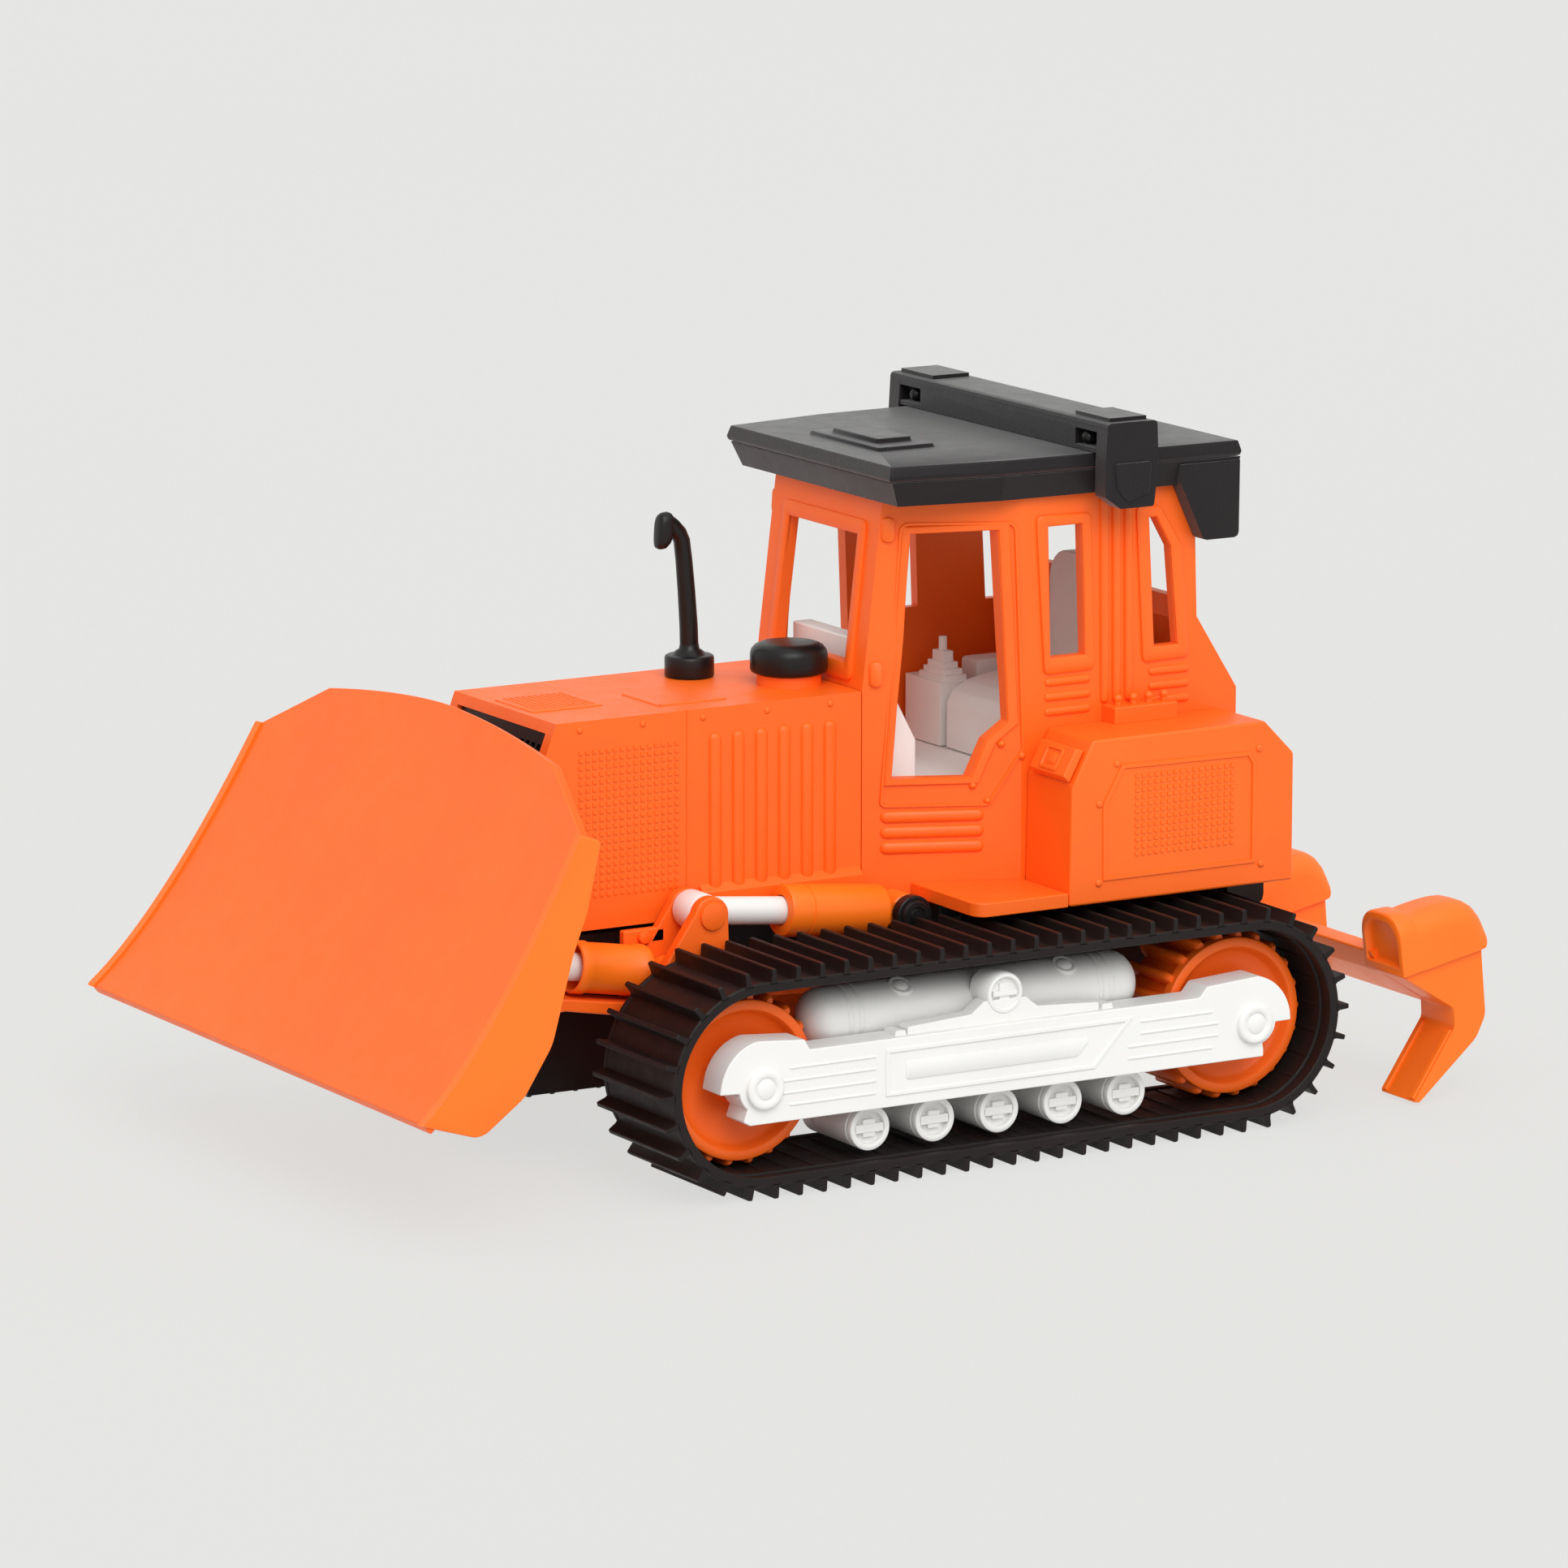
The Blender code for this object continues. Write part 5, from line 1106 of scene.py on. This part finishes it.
def claw(bm, x):
    """A hooked claw with a raised bead down each side of its front edge."""
    corners = [(147.0, 41.0), (147.0, 37.5), (163.4, 27.2), (164.0, 21.5), (150.3, 1.3), (152.4, 1.0),
               (171.8, 17.6), (174.9, 24.0), (172.9, 44.2), (165, 46)]
    outline = rounded(corners, [0, 0, 2, 3, 0.3, 0.3, 8, 6, 0, 0], 6)
    rings = []
    for px in (-8.3, -7.9, 7.9, 8.3):
        share = 0.0 if abs(px) < 8 else 0.4
        ring = []
        for y, z in outline:
            towards = (Vector((165.0, 28.0)) - Vector((y, z))).normalized() * share
            ring.append((x + px, y + towards.x, z + towards.y))
        rings.append(ring)
    loft(rings, bm)
    along, out = Vector((-0.561, -0.828)), Vector((-0.828, 0.561))
    top, foot = Vector((164.2, 21.8)) + along * 1.5, Vector((150.3, 1.3)) - along * 1.0
    for low, high in ((-7.9, -5.6), (5.6, 7.9)):
        rings = []
        for lift, inset in ((-0.3, 0.0), (0.45, 0.0), (0.7, 0.3)):
            a, b = top + out * lift, foot + out * lift
            left, right = x + low + inset, x + high - inset
            rings.append([(left, *a), (right, *a), (right, *b), (left, *b)])
        loft(rings, bm)


def ripper():
    bm = bmesh.new()
    for x in (-SHANK_X, 0.0, SHANK_X):
        ripper_head(bm, x)
        claw(bm, x)
    finish("ripper_shanks", bm, "blade_orange", ["ripper"], angle=38, body="ripper")
    bm = bmesh.new()
    beam = rounded([(144.5, 43.2), (148.5, 36.5), (165.6, 25.6), (168.3, 28.6), (157, 38.5), (151.6, 43.5)],
                   [0.6, 1.5, 0.6, 0.6, 3, 0.6], 4)
    for low, high in ((-SHANK_X + 6, -6), (6, SHANK_X - 6)):
        prism(beam, "X", low, high, bm)
    finish("ripper_beam", bm, "blade_orange", angle=30, body="ripper")
    for hand, side in SIDES:
        bm = bmesh.new()
        outline = [*arc((118.0, 48.0), 5.0, 110, 260, 16), (148, 37.6), (150.6, 40.5), (147, 43.0)]
        slab(outline, side, 25.4, 31.0, bm)
        finish(f"ripper_arm_{hand}", bm, "blade_orange", (), 0.7, 3, body="ripper")


# ---------------------------------------------------------------- stage


FLOOR_HALF = 40
FLOOR_GLOW, WORLD_LIGHT = 0.663, 0.80
PALE = (1.0, 1.0, 0.98, 1)


def from_direction(azimuth, elevation):
    """The unit vector towards a place at these degrees round from the front and above level."""
    a, e = math.radians(azimuth), math.radians(elevation)
    return Vector((math.sin(a) * math.cos(e), -math.cos(a) * math.cos(e), math.sin(e)))


def facing(towards):
    return (-towards).to_track_quat("-Z", "Y")


def sun(name, azimuth, elevation, energy, angle):
    data = bpy.data.lights.new(name, "SUN")
    data.energy = energy
    data.angle = math.radians(angle)
    lamp = add_object(name, data)
    lamp.rotation_mode = "QUATERNION"
    lamp.rotation_quaternion = facing(from_direction(azimuth, elevation))


def stage():
    n = Nodes("studio_floor")
    tint = n.ramp(n.noise(0.6, 2.0, 0.5), 0.0, 1.0)
    n.feed(Base_Color=n.mix(tint, (0.098, 0.098, 0.097), (0.102, 0.102, 0.101)))
    n.feed(Roughness=n.ramp(n.noise(3.0), 0.9, 0.98))
    n.fill(n.shader, {"Specular IOR Level": 0.0, "Emission Color": PALE, "Emission Strength": FLOOR_GLOW})
    corners = rectangle(-FLOOR_HALF, FLOOR_HALF, -FLOOR_HALF, FLOOR_HALF)
    bm = bmesh.new()
    bm.faces.new([bm.verts.new((x, y, 0)) for x, y in corners])
    floor = mesh_object("studio_floor", bm, n.material)
    floor.location.z = CAD_LOW.z

    world = bpy.data.worlds.new("studio")
    bpy.context.scene.world = world
    bpy.context.scene.view_settings.view_transform = "Standard"
    world.use_nodes = True
    background = world.node_tree.nodes["Background"]
    background.inputs["Color"].default_value = PALE
    background.inputs["Strength"].default_value = WORLD_LIGHT

    sun("key", 72.0, 42.0, 1.6, 40.0)
    sun("top", 100.0, 75.0, 0.35, 60.0)


IMAGE_SIZE, FOCAL_LENGTH, SENSOR_MM = 1932, 10506.7, 36.0
CAMERA_AT, CAMERA_AZIMUTH, CAMERA_ELEVATION, CAMERA_ROLL = (2.0231, -1.2017, 0.5588), 59.411, 11.185, 0.056


def camera():
    """A long lens beyond the machine's front corner. FOCAL_LENGTH and IMAGE_SIZE share a unit."""
    data = bpy.data.cameras.new("camera")
    data.sensor_width = SENSOR_MM
    data.lens = FOCAL_LENGTH / IMAGE_SIZE * SENSOR_MM
    data.clip_start, data.clip_end = 0.05, 100.0
    cam = add_object("camera", data)
    roll = Matrix.Rotation(math.radians(CAMERA_ROLL), 3, "Z").to_quaternion()
    cam.location = CAMERA_AT
    cam.rotation_mode = "QUATERNION"
    cam.rotation_quaternion = facing(from_direction(CAMERA_AZIMUTH, CAMERA_ELEVATION)) @ roll
    bpy.context.scene.camera = cam


# ---------------------------------------------------------------- assembly


def build():
    for row in (
        ("chassis", "gloss_black", 0.8),
        ("hood_shell", "body_orange", 0.9),
        ("cab_shell", "body_orange", 0.35, 2, 24),
        ("roof_top", "roof_black", 0.5),
        ("roof_base", "roof_black", 0.5),
        ("light_bar", "roof_black", 0.5),
        # The cab's inside pieces take the white that is painted lighter to stand in for light inside the cab.
        ("cab_floor", "cab_grey", 0.4),
        ("seat", "cab_grey", 1.6, 4),
        ("armrest", "cab_grey", 0.8),
        ("control_console", "cab_grey", 0.3),
        ("dashboard", "cab_grey", 0.6),
        ("front_axle", "steel", 0.2),
        ("rear_axle", "steel", 0.2),
        ("ripper_pin", "steel", 0.2),
    ):
        skin(*row)
    for hand, side in SIDES:
        skin(f"side_box_{hand}", "body_orange", 0.9)
        skin(f"side_lamp_{hand}", "body_orange", 0.5)
        skin(f"step_plate_{hand}", "body_orange", 0.7)
        skin(f"frame_pin_{hand}", "gloss_black", 0.3)
        for make in (belt, wheels, track_frame, beam_details, rollers, tank, hood_details, cab_side,
                     side_box_details, lamp_details, linkage):
            make(hand, side)
    for make in (hood_top_details, radiator, exhaust, cleaner, cab_front, roof_details, blade, push_frame,
                 ripper):
        make()


build()
stage()
camera()
